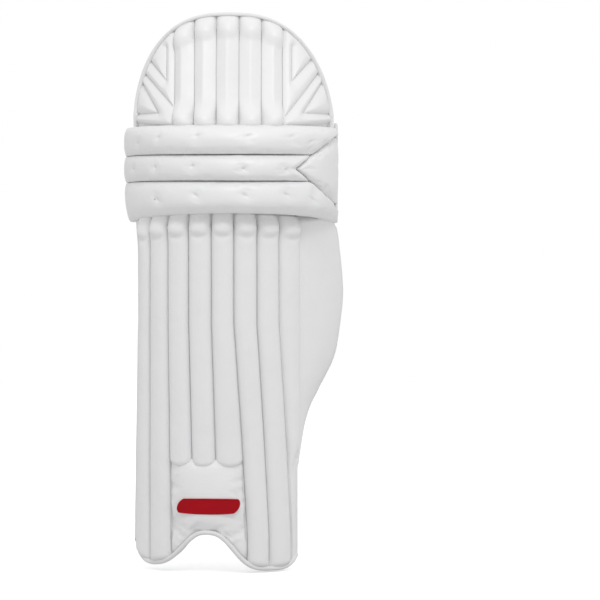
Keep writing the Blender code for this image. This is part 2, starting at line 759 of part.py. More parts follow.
def grown(oval, by):
    """The same oval, larger all round."""
    return oval[0], oval[1], oval[2] + by, oval[3] + by


def calf_strap(pivot):
    """The lower calf pad, the strap over it with its keeper, and the flap below."""
    gap = 0.0008
    strap_oval = grown(LOWER_CALF_PAD_OVAL, PAD_CLOTH_THICKNESS + gap)
    keeper_oval = grown(strap_oval, STRAP_THICKNESS + gap)
    band("lower_calf_pad", LOWER_CALF_PAD_OVAL, LOWER_CALF_PAD_Z, (STRAP_START, math.radians(30)),
         PAD_CLOTH_THICKNESS, WHITE_MESH, pivot, taper=0.25)
    band("calf_strap", strap_oval, CALF_STRAP_Z, (STRAP_START, math.radians(24)), STRAP_THICKNESS,
         PALE_FELT, pivot, taper=0.10)
    band("calf_flap", CALF_FLAP_OVAL, CALF_FLAP_Z, (STRAP_START, math.radians(52)), PAD_CLOTH_THICKNESS,
         WHITE_MESH, pivot, taper=0.45)
    keeper_turns = (KEEPER_TURN + KEEPER_HALF_TURN, KEEPER_TURN - KEEPER_HALF_TURN)
    band("strap_keeper", keeper_oval, KEEPER_Z, keeper_turns, KEEPER_THICKNESS, WHITE_BINDING, pivot, steps=4)


def ankle_strap(pivot):
    band("ankle_strap", ANKLE_STRAP_OVAL, ANKLE_STRAP_Z, (STRAP_START, math.radians(24)), STRAP_THICKNESS,
         PALE_FELT, pivot)


def ankle_loop(pivot):
    """Folded pull loop that stands off the ankle strap, as half a ring."""
    def surface(u, v, side):
        turn = math.pi * u
        reach = LOOP_RADIUS + LOOP_THICKNESS * side
        x = LOOP_CENTRE[0] + reach * math.cos(turn)
        y = LOOP_CENTRE[1] + reach * math.sin(turn)
        return Vector((x, y, mix(LOOP_Z[0], LOOP_Z[1], v)))
    block("ankle_loop", surface, LOOP_STEPS, 2, PALE_FELT, pivot)


def inner_flap(pivot):
    band("inner_flap", INNER_FLAP_OVAL, INNER_FLAP_Z, (STRAP_START, math.radians(118)), STRAP_THICKNESS,
         PALE_FELT, pivot, steps=8, taper=0.5)


def wing_patch(pivot):
    """Hook-and-loop patch on the inner face of the wing, where the calf strap closes."""
    z = 0.5 * (CALF_STRAP_Z[0] + CALF_STRAP_Z[1])
    heading = wing_heading(z)
    along = Vector((math.cos(heading), math.sin(heading), 0.0))
    up = (Vector((0.0, -SHIN_LEAN, 1.0)) - along * along.y * -SHIN_LEAN).normalized()
    centre = wing_point(0.45, z, WING_THICKNESS + 0.5 * PATCH_SIZE[2] + 2.0 * SIT)
    plate("wing_hook_patch", centre, along, up, PATCH_SIZE, PALE_FELT, pivot)
    return centre


# ================= program =================

for old in list(bpy.data.objects):
    bpy.data.objects.remove(old)
parts_collection = bpy.data.collections.new("cricket_leg_pad")
bpy.context.scene.collection.children.link(parts_collection)

wing_pivot = pivot_empty("outer_wing_axis", wing_seam(mix(WING_BOTTOM, WING_TOP, 0.5)))

for channel in range(SHIN_CHANNELS):
    shin_channel(channel)
    shin_core(channel)
shin_board()
shin_liner()
shin_bolster("shin_bolster_inner", BOLSTER_ANGLES[0])
shin_bolster("shin_bolster_outer", BOLSTER_ANGLES[1])
instep_panel()
outer_margin()
shin_side_wall()
outer_wing(wing_pivot)
for number, roll in enumerate(("upper_knee_roll", "middle_knee_roll", "lower_knee_roll")):
    knee_roll(number, roll)
knee_wedge()
knee_board()
knee_cup()
for channel in range(DOME_CHANNELS):
    dome_channel(channel)
    dome_core(channel)
dome_side("dome_side_inner", -1)
dome_side("dome_side_outer", 1)
dome_board()
dome_liner()
dome_binding()
knee_binding("knee_binding_inner", -1)
knee_binding("knee_binding_outer", 1)
foot_binding()

knee_strap(pivot_empty("knee_strap_axis", KNEE_STRAP_AXIS))
upper_calf_pad(pivot_empty("upper_calf_pad_axis", UPPER_CALF_PAD_AXIS))
calf_strap(pivot_empty("calf_strap_axis", CALF_STRAP_AXIS))
ankle_pivot = pivot_empty("ankle_strap_axis", ANKLE_STRAP_AXIS)
ankle_strap(ankle_pivot)
ankle_loop(ankle_pivot)
inner_flap(pivot_empty("inner_flap_axis", INNER_FLAP_AXIS))
wing_patch(wing_pivot)
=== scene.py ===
"""Looks of the cricket leg pad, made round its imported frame.

The frame is the pad's own: metres, +Z up the leg, -Y to the front, +X to the outer side.
A place on the front of the pad is an angle round one cylinder, a height, and an inset behind the face.
Every soft piece is a closed body between a front and a back, each a grid of places.
"""
import math

import bmesh
import bpy
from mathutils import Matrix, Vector, noise


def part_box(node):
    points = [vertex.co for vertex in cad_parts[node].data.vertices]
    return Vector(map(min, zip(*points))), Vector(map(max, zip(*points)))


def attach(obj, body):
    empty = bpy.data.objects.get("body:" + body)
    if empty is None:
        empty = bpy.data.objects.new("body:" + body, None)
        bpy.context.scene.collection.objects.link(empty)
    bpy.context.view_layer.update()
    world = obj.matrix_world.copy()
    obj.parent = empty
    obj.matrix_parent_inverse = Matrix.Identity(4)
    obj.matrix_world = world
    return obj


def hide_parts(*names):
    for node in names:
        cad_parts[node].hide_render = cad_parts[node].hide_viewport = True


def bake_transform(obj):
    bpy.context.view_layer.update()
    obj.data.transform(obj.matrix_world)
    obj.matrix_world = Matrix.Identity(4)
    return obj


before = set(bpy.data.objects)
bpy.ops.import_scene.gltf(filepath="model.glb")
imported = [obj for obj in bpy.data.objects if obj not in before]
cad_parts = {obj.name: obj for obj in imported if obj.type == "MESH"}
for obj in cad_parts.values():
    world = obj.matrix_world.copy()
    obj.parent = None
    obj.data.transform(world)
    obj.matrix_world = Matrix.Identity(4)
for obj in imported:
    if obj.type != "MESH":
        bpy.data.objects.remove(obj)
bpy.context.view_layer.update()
scene = bpy.context.scene

# ---- whole pad ----
FACE_RADIUS = 0.134
FACE_FRONT = -0.083
SHIN_CENTRE_X = -0.0075
DOME_CENTRE_X = 0.0065
SHIN_TOP = -0.061
SHIN_LEAN = 0.066
DOME_BOTTOM = 0.0545
DOME_SLOPE = 0.575
SEAM_INSET = 0.0085
BOARD_INSET = 0.0130
LINER_INSET = 0.0195
LINER_THICKNESS = 0.0090
RIM_INSET = 0.0075
BINDING_RADIUS = 0.0032

# ---- shin ----
SHIN_CHANNELS = 8
SEAM_ANGLES = [math.radians(turn) for turn in (-55.2, -45.6, -32.7, -19.7, -6.3, 6.6, 20.2, 34.2, 50.1)]
SEAM_DRIFTS = [math.radians(turn) for turn in (-4.4, -0.8, 1.2, 2.6, 3.4, 7.8, 7.4, 8.5, 0.0)]
SEAM_DRIFT_Z = (-0.470, -0.343, -0.200)
SHIN_LEFT_ANGLE = SEAM_ANGLES[0]
SHIN_RIGHT_ANGLE = SEAM_ANGLES[-1]
LINER_LEFT_ANGLE = math.radians(-52.5)
TOP_FLARE = math.radians(2.0)
WALL_ANGLE = math.radians(-54.0)
FOOT_BINDING_TUCK = 0.0015
FOOT_TUCK = math.radians(4.9)
FOOT_TUCK_Z = (-0.386, -0.352)
OUTER_CHANNEL_RUN = ((-0.396, 0.08), (-0.377, 0.50), (-0.352, 0.90), (-0.325, 1.0))
INSTEP_TOP = -0.372
FOOT_BOTTOM = -0.5125
FOOT_CORNER = 0.024
ARCH_CENTRE_X = -0.027
ARCH_HALF_WIDTH = 0.041
ARCH_HEIGHT = 0.0445
CHANNEL_END = 0.007
SCALLOP = 0.0105
BULB_HEIGHT = 0.0265
BULB_LIFT = 0.0034
BULB_RECESS = 0.0045
BOLSTER_Z = (-0.325, -0.095)
BOLSTER_HALF_ANGLE = math.radians(13)

# ---- outer wing ----
WING_TOP = -0.0725
WING_TOP_FALL = 0.013
WING_BOTTOM = -0.372
WING_THICKNESS = 0.0090
WING_SEAM_GAP = 0.0022
WING_TUCK = 0.0040

# ---- knee ----
KNEE_CENTRE_X = 0.0035
ROLL_EDGES = (0.0530, 0.0163, -0.0168, -0.0585)
ROLL_PROUD = 0.0255
KNEE_RIM_ANGLE = math.radians(77)
KNEE_BOARD_ANGLE = math.radians(71)
KNEE_DROP = 0.0190
KNEE_SAG = 0.0105
WEDGE_APEX_X = 0.0819
WEDGE_APEX_Z = -0.001
WEDGE_FLARE = 1.34
ROLL_END = math.radians(1.5)
ROLL_GROOVE = 0.48
ROLL_TAPER = 0.080
ROLL_HEM = 0.06
TUFT_DEPTH = 0.0066
TUFT_RADIUS = 0.0036
TUFT_HELD = 0.0028

# ---- dome ----
DOME_CHANNELS = 5
DOME_CHANNEL_LEFT = math.radians(-36.1)
DOME_CHANNEL_ANGLE = math.radians(13.08)
DOME_BASE = 0.045
DOME_HALF_WIDTH = 0.1275
DOME_RISE = 0.1425
DOME_LEAN = 0.0050
DOME_POWER_ACROSS = 2.6
DOME_POWER_UP = 1.88
DOME_RIM_START = math.radians(6.5)
DOME_RIM_INSET = 0.0040
DOME_RIM_TAIL = 0.0070
DOME_BULB_LIFT = 0.0062
DOME_BOARD_TOP = 0.1645
TOP_BULB = 0.027
LOWER_BULB = 0.026
DOME_LINER_REAR_Y = 0.031

# ---- straps and pads behind the leg ----
STRAP_THICKNESS = 0.0028
PAD_CLOTH_THICKNESS = 0.0055
STRAP_START = 172
CALF_STRAP_Z = (-0.233, -0.175)
LOWER_CALF_PAD_Z = (-0.266, -0.159)
UPPER_CALF_PAD_Z = (-0.156, -0.067)
CALF_FLAP_Z = (-0.328, -0.2675)
KNEE_STRAP_Z = (-0.060, -0.0265)
ANKLE_STRAP_Z = (-0.3835, -0.333)
INNER_FLAP_Z = (-0.439, -0.386)

# ---- sewing ----
STITCH_PITCH = 0.0031
STITCH_LENGTH = 0.0023
STITCH_RADIUS = 0.00042
UNEVEN = 0.00055


# ================= curves and shares =================

def ease(points, at):
    """Value on a smooth curve through a few (position, value) points, level beyond its ends."""
    if at <= points[0][0]:
        return points[0][1]
    if at >= points[-1][0]:
        return points[-1][1]
    slopes = []
    for index in range(len(points)):
        before = points[max(index - 1, 0)]
        after = points[min(index + 1, len(points) - 1)]
        slopes.append((after[1] - before[1]) / (after[0] - before[0]))
    index = 0
    while points[index + 1][0] < at:
        index += 1
    (left, low), (right, high) = points[index], points[index + 1]
    width = right - left
    t = (at - left) / width
    return (low * (2 * t**3 - 3 * t**2 + 1) + slopes[index] * width * (t**3 - 2 * t**2 + t)
            + high * (3 * t**2 - 2 * t**3) + slopes[index + 1] * width * (t**3 - t**2))


def mix(start, end, share):
    return start + (end - start) * share


def clamp(value, low=0.0, high=1.0):
    return max(low, min(high, value))


def smooth(share):
    share = clamp(share)
    return share * share * (3.0 - 2.0 * share)


def bell(distance, width):
    return math.exp(-(distance / width) ** 2)


def round_end(distance, reach):
    """Height of a rounded edge at a distance in from it, 0 at the edge and 1 past reach."""
    return math.sqrt(1.0 - (1.0 - clamp(distance / reach)) ** 2)


def stuffed(t, squareness=2.5, roundness=0.62, edge=0.02):
    """Height of a stuffed channel across its width, 0 at its sewn edges and 1 in the middle."""
    t = clamp((t - edge) / (1.0 - 2.0 * edge))
    return max(0.0, 1.0 - abs(2.0 * t - 1.0) ** squareness) ** roundness


def uneven(place, coarse=24.0):
    """Slight unevenness of stuffed leather, in metres."""
    broad = noise.noise(place * coarse)
    fine = noise.noise(place * coarse * 3.7)
    return UNEVEN * (broad + 0.35 * fine)


def steps(count, drawn=0.0):
    """Shares from 0 to 1, drawn towards both ends."""
    return [mix(n / count, 0.5 - 0.5 * math.cos(math.pi * n / count), drawn) for n in range(count + 1)]


def along_corners(corners, count):
    """Spots along the straight lines between corners, count on each."""
    return [(mix(u, u_next, n / count), mix(v, v_next, n / count))
            for (u, v), (u_next, v_next) in zip(corners, corners[1:]) for n in range(count)]


def segment_distance(x, z, start, end):
    along = (end[0] - start[0], end[1] - start[1])
    length = along[0] ** 2 + along[1] ** 2
    t = clamp(((x - start[0]) * along[0] + (z - start[1]) * along[1]) / length)
    return math.hypot(x - start[0] - t * along[0], z - start[1] - t * along[1])


# ================= the curved face of the pad =================

def centre_x(z):
    return ease(((SHIN_TOP, SHIN_CENTRE_X), (DOME_BOTTOM, DOME_CENTRE_X)), z)


def apex_y(z):
    if z < SHIN_TOP:
        return FACE_FRONT + SHIN_LEAN * (SHIN_TOP - z)
    if z > DOME_BOTTOM:
        return FACE_FRONT + DOME_SLOPE * (z - DOME_BOTTOM)
    return FACE_FRONT


def face_point(angle, z, inset=0.0):
    radius = FACE_RADIUS - inset
    return Vector((
        centre_x(z) + radius * math.sin(angle),
        apex_y(z) + FACE_RADIUS - radius * math.cos(angle),
        z,
    ))


def face_outward(angle):
    return Vector((math.sin(angle), -math.cos(angle), 0.0))


def face_spots(spots):
    """Places and outward directions of (angle, z, inset) spots on the face."""
    return [face_point(*spot) for spot in spots], [face_outward(spot[0]) for spot in spots]


def face_run(at, count=80):
    return face_spots([at(share) for share in steps(count)])


def channel_side(index, z):
    """Angle of a seam at a height: upright at mid-shin, drifting outward towards the foot."""
    foot, low, middle = SEAM_DRIFT_Z
    angle = SEAM_ANGLES[index] + SEAM_DRIFTS[index] * ease(((foot, 1.0), (low, 0.57), (middle, 0.0)), z)
    return angle - TOP_FLARE * smooth((z + 0.110) / 0.040) if index == 0 else angle


def outer_edge(z):
    """Angle of the shin's outer edge: upright beside the wing, turning inward below it."""
    low, high = FOOT_TUCK_Z
    return SHIN_RIGHT_ANGLE - FOOT_TUCK * ease(((low, 1.0), (high, 0.0)), z)


def foot_z(angle):
    x = SHIN_CENTRE_X + FACE_RADIUS * math.sin(angle)
    left = SHIN_CENTRE_X + FACE_RADIUS * math.sin(channel_side(0, FOOT_BOTTOM))
    right = SHIN_CENTRE_X + FACE_RADIUS * math.sin(outer_edge(FOOT_BOTTOM))
    bottom = ease(((-0.075, FOOT_BOTTOM + 0.005), (0.035, FOOT_BOTTOM)), x)
    arch = ARCH_HEIGHT * math.exp(-abs((x - ARCH_CENTRE_X) / ARCH_HALF_WIDTH) ** 2.6)
    into_corner = max(left + FOOT_CORNER - x, x - right + 0.85 * FOOT_CORNER, 0.0) / FOOT_CORNER
    corner = FOOT_CORNER * (1.0 - math.sqrt(max(0.0, 1.0 - min(into_corner, 1.0) ** 2)))
    return bottom + arch + corner


def dome_top_z(x):
    """Upper edge of the dome, a square-shouldered ellipse that leans to the inner side."""
    share = 1.0
    for _ in range(8):
        across = clamp(abs(x - DOME_CENTRE_X + DOME_LEAN * share) / DOME_HALF_WIDTH)
        share = (1.0 - across**DOME_POWER_ACROSS) ** (1.0 / DOME_POWER_UP)
    return DOME_BASE + DOME_RISE * share


def dome_crest(angle):
    return dome_top_z(DOME_CENTRE_X + FACE_RADIUS * math.sin(angle))


def dome_edge_x(z, side):
    share = clamp((z - DOME_BASE) / DOME_RISE)
    half = DOME_HALF_WIDTH * (1.0 - share**DOME_POWER_UP) ** (1.0 / DOME_POWER_ACROSS)
    return DOME_CENTRE_X - DOME_LEAN * share + side * half


def edge_angle(x, z, inset=0.0):
    return math.asin(clamp((x - centre_x(z)) / (FACE_RADIUS - inset), -1.0, 1.0))


def knee_drop(angle):
    return KNEE_DROP * (angle / KNEE_RIM_ANGLE) ** 2


def knee_sag(angle):
    return KNEE_SAG * (angle / KNEE_RIM_ANGLE) ** 2


def knee_point(angle, z, inset):
    if angle < 0.0:
        angle *= 1.0 - ROLL_TAPER * smooth((ROLL_EDGES[2] - 0.004 - z) / 0.038)
    if inset < 0.0:
        inset *= 0.22 + 0.78 * math.cos(angle) ** 2
    radius = FACE_RADIUS - inset
    return Vector((
        KNEE_CENTRE_X + radius * math.sin(angle),
        FACE_FRONT + FACE_RADIUS - radius * math.cos(angle),
        z - knee_sag(angle),
    ))


def wedge_edge_angle(z):
    x = WEDGE_APEX_X + WEDGE_FLARE * abs(z - WEDGE_APEX_Z)
    share = (x - KNEE_CENTRE_X) / (FACE_RADIUS + 0.3 * ROLL_PROUD)
    return min(math.asin(min(share, 1.0)), KNEE_RIM_ANGLE + ROLL_END)


# ================= materials =================

def wired(tree, kind, settings=None, **inputs):
    """A new node, with its inputs set to values or joined to other nodes' sockets."""
    made = tree.nodes.new(kind)
    for name, value in (settings or {}).items():
        setattr(made, name, value)
    sockets = {name: made.inputs[name.replace("_", " ")] for name in inputs if name != "Values"}
    joins = [(sockets[name], inputs[name]) for name in sockets]
    for socket, value in joins + list(zip(made.inputs, inputs.get("Values", ()))):
        if isinstance(value, bpy.types.NodeSocket):
            tree.links.new(value, socket)
        else:
            socket.default_value = value
    return made


def shade(colour, amount):
    return tuple(channel * amount for channel in colour)


class Finish:
    """A node material: grey shares of its place, a ramp of them for its colour, and a bump."""

    def __init__(self, name, roughness, **fixed):
        self.made = bpy.data.materials.new(name)
        self.made.use_nodes = True
        self.tree = self.made.node_tree
        self.shader = self.tree.nodes["Principled BSDF"]
        self.place = wired(self.tree, "ShaderNodeTexCoord").outputs["Object"]
        for socket, value in dict(fixed, Roughness=roughness).items():
            self.shader.inputs[socket.replace("_", " ")].default_value = value

    def noise(self, scale, detail=2.0, rough=0.5, **more):
        more.setdefault("Vector", self.place)
        return wired(self.tree, "ShaderNodeTexNoise", Scale=scale, Detail=detail, Roughness=rough,
                     **more).outputs["Fac"]

    def cells(self, scale, randomness=1.0):
        return wired(self.tree, "ShaderNodeTexVoronoi", {"feature": "F1"}, Vector=self.place, Scale=scale,
                     Randomness=randomness).outputs["Distance"]

    def sum(self, first, second, weight):
        return wired(self.tree, "ShaderNodeMath", {"operation": "MULTIPLY_ADD"},
                     Values=(second, weight, first)).outputs["Value"]

    def ramp(self, share, *stops):
        """Colours or grey values along a share."""
        made = wired(self.tree, "ShaderNodeValToRGB", Fac=share)
        while len(made.color_ramp.elements) < len(stops):
            made.color_ramp.elements.new(0.5)
        for element, (place, colour) in zip(made.color_ramp.elements, stops):
            element.position = place
            element.color = (colour,) * 3 + (1.0,) if isinstance(colour, float) else (*colour, 1.0)
        return made.outputs["Color"]

    def drive(self, socket, share, *stops):
        self.tree.links.new(self.ramp(share, *stops), self.shader.inputs[socket])

    def bump(self, height, distance, strength):
        made = wired(self.tree, "ShaderNodeBump", Height=height, Distance=distance, Strength=strength)
        self.tree.links.new(made.outputs["Normal"], self.shader.inputs["Normal"])
        return self.made


def leather(name, colour, roughness=0.42, grain=1.0):
    """Coated leather: pebbled grain, fine creases, painted shade in its hollows over random blotches of tone,
    and gloss that varies.
    """
    made = Finish(name, roughness)
    # painted shade: low pointiness in seams and hollows darkens the colour, added to random blotches of tone
    hollows = wired(made.tree, "ShaderNodeNewGeometry").outputs["Pointiness"]
    blotches_and_hollow_shade = made.sum(made.noise(11.0, 4.0, 0.6), made.ramp(hollows, (0.42, 0.0), (0.52, 1.0)), 0.55)
    made.drive("Base Color", blotches_and_hollow_shade, (0.35, shade(colour, 0.925)), (0.95, colour))
    made.drive("Roughness", made.noise(55.0, 3.0), (0.3, roughness + 0.08), (0.7, roughness - 0.06))
    return made.bump(made.sum(made.noise(260.0, 5.0, 0.62), made.cells(780.0), 0.55), 0.00022 * grain, 0.55)


def woven(name, colour, pitch, roughness, depth=0.10, relief=0.00025, diagonal=0.0, sheen=0.15):
    """A plain or twill weave from two crossed sets of bands."""
    made = Finish(name, roughness, Sheen_Weight=sheen, Specular_IOR_Level=2.0 * sheen + 0.1)
    turned = wired(made.tree, "ShaderNodeMapping", Vector=made.place, Rotation=(0.0, diagonal, 0.0))
    waves = [wired(made.tree, "ShaderNodeTexWave", {"bands_direction": way}, Scale=1.0 / (math.pi * pitch),
                   Vector=turned.outputs["Vector"], Distortion=0.6, Detail_Scale=3.0).outputs["Fac"]
             for way in ("X", "Z")]
    crossed = wired(made.tree, "ShaderNodeMath", {"operation": "MULTIPLY"}, Values=waves).outputs["Value"]
    height = made.sum(crossed, made.noise(900.0, 3.0), 0.35)
    tone = made.sum(height, made.noise(16.0, 3.0), 0.6)
    made.drive("Base Color", tone, (0.1, shade(colour, 1.0 - depth)), (1.1, colour))
    return made.bump(height, relief, 0.8)


def spacer_mesh(name, colour, hole_colour):
    """Knitted spacer mesh: rows of small round holes in a soft ground."""
    made = Finish(name, 0.85, Sheen_Weight=0.25)
    cells = made.cells(330.0, 0.28)
    tone = made.sum(cells, made.noise(18.0, 3.0), 0.25)
    made.drive("Base Color", tone, (0.24, hole_colour), (0.42, shade(colour, 0.94)), (0.8, colour))
    knit = made.sum(made.ramp(cells, (0.12, 0.0), (0.38, 1.0)), made.noise(1500.0), 0.25)
    return made.bump(knit, 0.0005, 0.9)


def matted(name, colour, roughness, pattern, blotches, dark, light, relief, strength, **fixed):
    """Felt, hook tape or pressed board: a fine pattern, and broad blotches in its tone."""
    made = Finish(name, roughness, **fixed)
    fine = pattern(made)
    scale, detail, weight = blotches
    tone = made.sum(fine, made.noise(scale, detail), weight)
    made.drive("Base Color", tone, (dark[0], shade(colour, dark[1])), (light[0], shade(colour, light[1])))
    return made.bump(fine, relief, strength)


def cane(name, colour):
    """Split cane: long straight fibres with darker pores."""
    made = Finish(name, 0.6)
    drawn = wired(made.tree, "ShaderNodeMapping", Vector=made.place, Scale=(1.0, 1.0, 0.03))
    fibres = made.noise(900.0, 5.0, 0.7, Vector=drawn.outputs["Vector"])
    made.drive("Base Color", fibres, (0.3, shade(colour, 0.62)), (0.7, colour))
    return made.bump(fibres, 0.0004, 0.8)


WHITE = (0.815, 0.815, 0.82)
GREY = (0.70, 0.695, 0.68)
finishes = {
    "leather": leather("white_leather", WHITE),
    "smooth_leather": leather("white_leather_smooth", (0.825, 0.825, 0.825), 0.40, 0.6),
    "binding": woven("white_binding", (0.83, 0.83, 0.835), 0.0011, 0.55, 0.09),
    "mesh": spacer_mesh("white_mesh", (0.78, 0.78, 0.775), (0.60, 0.605, 0.61)),
    "felt": matted("grey_felt", GREY, 0.95, lambda made: made.noise(420.0, 6.0, 0.75, Distortion=1.6),
                   (30.0, 4.0, 0.5), (0.4, 0.80), (1.0, 1.08), 0.0007, 0.9, Sheen_Weight=0.5,
                   Sheen_Roughness=0.6),
    "hooks": matted("grey_hooks", GREY, 0.6, lambda made: made.cells(900.0, 0.15),
                    (60.0, 3.0, 0.3), (0.2, 1.1), (0.8, 0.6), 0.0006, 1.0),
    "lining": woven("grey_lining", (0.66, 0.69, 0.72), 0.0016, 0.85, 0.16, 0.0003, math.radians(45)),
    # thread tinted grey: painted shade standing in for the shadows of the stitch holes along white stitching
    "thread": woven("white_thread_painted_shade", (0.66, 0.665, 0.67), 0.0007, 0.6, 0.2, 0.0001),
    "patch": woven("red_patch", (0.44, 0.007, 0.014), 0.0013, 0.85, 0.30, 0.0003, math.radians(35), 0.0),
    # dark grey knots: painted shade of the tuft dimples that the knots cover
    "knot": woven("knot_thread_painted_dimple_shade", (0.40, 0.405, 0.41), 0.0007, 0.8, 0.2, 0.0001),
    "cane": cane("cane", (0.72, 0.56, 0.34)),
    "board": matted("fibre_board", (0.55, 0.53, 0.50), 0.8, lambda made: made.noise(520.0, 6.0, 0.8),
                    (40.0, 3.0, 0.6), (0.5, 0.8), (1.1, 1.05), 0.0002, 0.7),
}


# ================= making pieces =================

def placed(name, data):
    """A new object in the scene."""
    made = bpy.data.objects.new(name, data)
    scene.collection.objects.link(made)
    return made


def new_mesh(name, places, faces):
    mesh = bpy.data.meshes.new(name)
    mesh.from_pydata(places, [], faces)
    return mesh


def piece(name, mesh, finish, body, nodes=()):
    """A finished piece that rides on a body; a piece of the wing is left on no body."""
    mesh.shade_smooth()
    mesh.materials.append(finishes[finish])
    made = placed(name, mesh)
    if body == "wing_bend":
        middle = mix(WING_BOTTOM, WING_TOP, 0.5)
        start, across = wing_seam(middle), wing_along(middle)
        hinge = Vector((0.0, -SHIN_LEAN, 1.0)).normalized()
        across = (across - hinge * across.dot(hinge)).normalized()
        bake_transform(made)
    else:
        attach(made, body)
    if nodes:
        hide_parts(*nodes)
    return made


def rows(surface, us, vs):
    return [[surface(u, v) for u in us] for v in vs]


def grid_corners(high, wide):
    return [j * wide + i for j in range(high - 1) for i in range(wide - 1)]


def faced_out(name, places, faces):
    """A closed mesh with its faces outward."""
    mesh = new_mesh(name, places, faces)
    shape = bmesh.new()
    shape.from_mesh(mesh)
    if shape.calc_volume(signed=True) < 0.0:
        bmesh.ops.reverse_faces(shape, faces=shape.faces)
    shape.to_mesh(mesh)
    shape.free()
    return mesh


def closed_mesh(name, front, back):
    """A closed body between two grids of places of the same size."""
    high, wide = len(front), len(front[0])
    count = high * wide
    places = [place for row in front for place in row] + [place for row in back for place in row]
    faces = []
    for a in grid_corners(high, wide):
        faces.append((a, a + 1, a + 1 + wide, a + wide))
        faces.append((count + a, count + a + wide, count + a + 1 + wide, count + a + 1))
    ring = list(range(wide)) + [j * wide + wide - 1 for j in range(1, high)]
    ring += [(high - 1) * wide + i for i in range(wide - 2, -1, -1)]
    ring += [j * wide for j in range(high - 2, 0, -1)]
    for a, b in zip(ring, ring[1:] + ring[:1]):
        faces.append((a, count + a, count + b, b))
    return faced_out(name, places, faces)


def body_piece(name, front, back, grid, finish, body="pad_body", node=None, relaxed=None):
    """A closed piece between two surfaces of (u, v) over a grid; relaxed is its simulated front."""
    us, vs = grid
    mesh = closed_mesh(name, relaxed or rows(front, us, vs), rows(back, us, vs))
    made = piece(name, mesh, finish, body, (node,) if node else ())
    if relaxed:
        subdivision = made.modifiers.new("refined", "SUBSURF")
        subdivision.levels = subdivision.render_levels = 1


CLOTH = {
    "quality": 6, "mass": 0.02, "tension_stiffness": 12.0, "compression_stiffness": 12.0,
    "shear_stiffness": 4.0, "bending_stiffness": 0.08, "air_damping": 6.0, "vertex_group_mass": "held",
    "use_pressure": True,
}
CLOTH_FRAMES = 16


def inflate(name, front, held, pressure, slack, cap):
    """Cloth simulation of a front, with spare cloth, held at its border and where held(j, i) says."""
    high, wide = len(front), len(front[0])
    faces = [(a, a + 1, a + 1 + wide, a + wide) for a in grid_corners(high, wide)]
    mesh = new_mesh(name, [place for row in front for place in row], faces)
    middle = mesh.polygons[len(faces) // 2 + wide // 2]
    if middle.normal.dot(Vector((middle.center.x, middle.center.y - FACE_RADIUS, 0.0))) < 0.0:
        mesh.flip_normals()
    cloth = placed(name, mesh)
    group = cloth.vertex_groups.new(name="held")
    group.add([j * wide + i for j in range(high) for i in range(wide)
               if j in (0, high - 1) or i in (0, wide - 1) or held(j, i)], 1.0, "REPLACE")
    modifier = cloth.modifiers.new("cloth", "CLOTH")
    settings = modifier.settings
    for key, value in dict(CLOTH, uniform_pressure_force=pressure, shrink_min=-slack).items():
        setattr(settings, key, value)
    settings.effector_weights.gravity = 0.0
    modifier.collision_settings.use_collision = False
    modifier.point_cache.frame_start = 1
    modifier.point_cache.frame_end = CLOTH_FRAMES + 1
    for number in range(1, CLOTH_FRAMES + 1):
        scene.frame_set(number)
    result = cloth.evaluated_get(bpy.context.evaluated_depsgraph_get()).to_mesh()
    swollen = []
    for j in range(high):
        row = []
        for i in range(wide):
            moved = result.vertices[j * wide + i].co - front[j][i]
            if moved.length > cap:
                moved *= cap / moved.length
            row.append(front[j][i] + moved)
        swollen.append(row)
    bpy.data.objects.remove(cloth)
    scene.frame_set(1)
    return swollen


def ring_places(centre, across, up, wide, deep, sides):
    turns = [2.0 * math.pi * side / sides for side in range(sides)]
    return [centre + across * (wide * math.cos(turn)) + up * (deep * math.sin(turn)) for turn in turns]


def tube_faces(first, rings, sides):
    """Faces of a closed tube, whose rings follow each other from place number first."""
    last = first + (rings - 1) * sides
    faces = []
    for start in range(first, last, sides):
        for side in range(sides):
            a, b = start + side, start + (side + 1) % sides
            faces.append((a, a + sides, b + sides, b))
    return faces + [tuple(range(first, first + sides)), tuple(range(last + sides - 1, last - 1, -1))]


def sweep(name, path, outward, half_wide, half_deep, finish, body, nodes=(), sides=12, lumps=0.05):
    """A soft tape or piping with an oval section, along a path, with its depth along outward."""
    places = []
    last = len(path) - 1
    for index, place in enumerate(path):
        tangent = (path[min(index + 1, last)] - path[max(index - 1, 0)]).normalized()
        up = (outward[index] - tangent * outward[index].dot(tangent)).normalized()
        swell = 1.0 + lumps * noise.noise(place * 160.0)
        end = round_end(min(index, last - index) + 0.6, 2.0)
        places += ring_places(place, tangent.cross(up), up, half_wide * end * swell,
                              half_deep * end * swell, sides)
    piece(name, faced_out(name, places, tube_faces(0, len(path), sides)), finish, body, nodes)


def resampled(path, outward, gap):
    """Equally spaced places along a path, each with its direction and outward."""
    lengths = [0.0]
    for before, after in zip(path, path[1:]):
        lengths.append(lengths[-1] + (after - before).length)
    count = max(int(lengths[-1] / gap), 1)
    found, index = [], 0
    for number in range(count):
        at = (number + 0.5) * lengths[-1] / count
        while index < len(path) - 2 and lengths[index + 1] < at:
            index += 1
        share = (at - lengths[index]) / max(lengths[index + 1] - lengths[index], 1e-9)
        along = (path[index + 1] - path[index]).normalized()
        found.append((path[index].lerp(path[index + 1], share), along,
                      outward[index].lerp(outward[index + 1], share).normalized()))
    return found


STITCH_RINGS = (
    (-0.50, 0.30, -0.9), (-0.36, 0.85, -0.2), (0.0, 1.0, 0.15), (0.36, 0.85, -0.2), (0.50, 0.30, -0.9),
)
STITCH_SIDES = 6


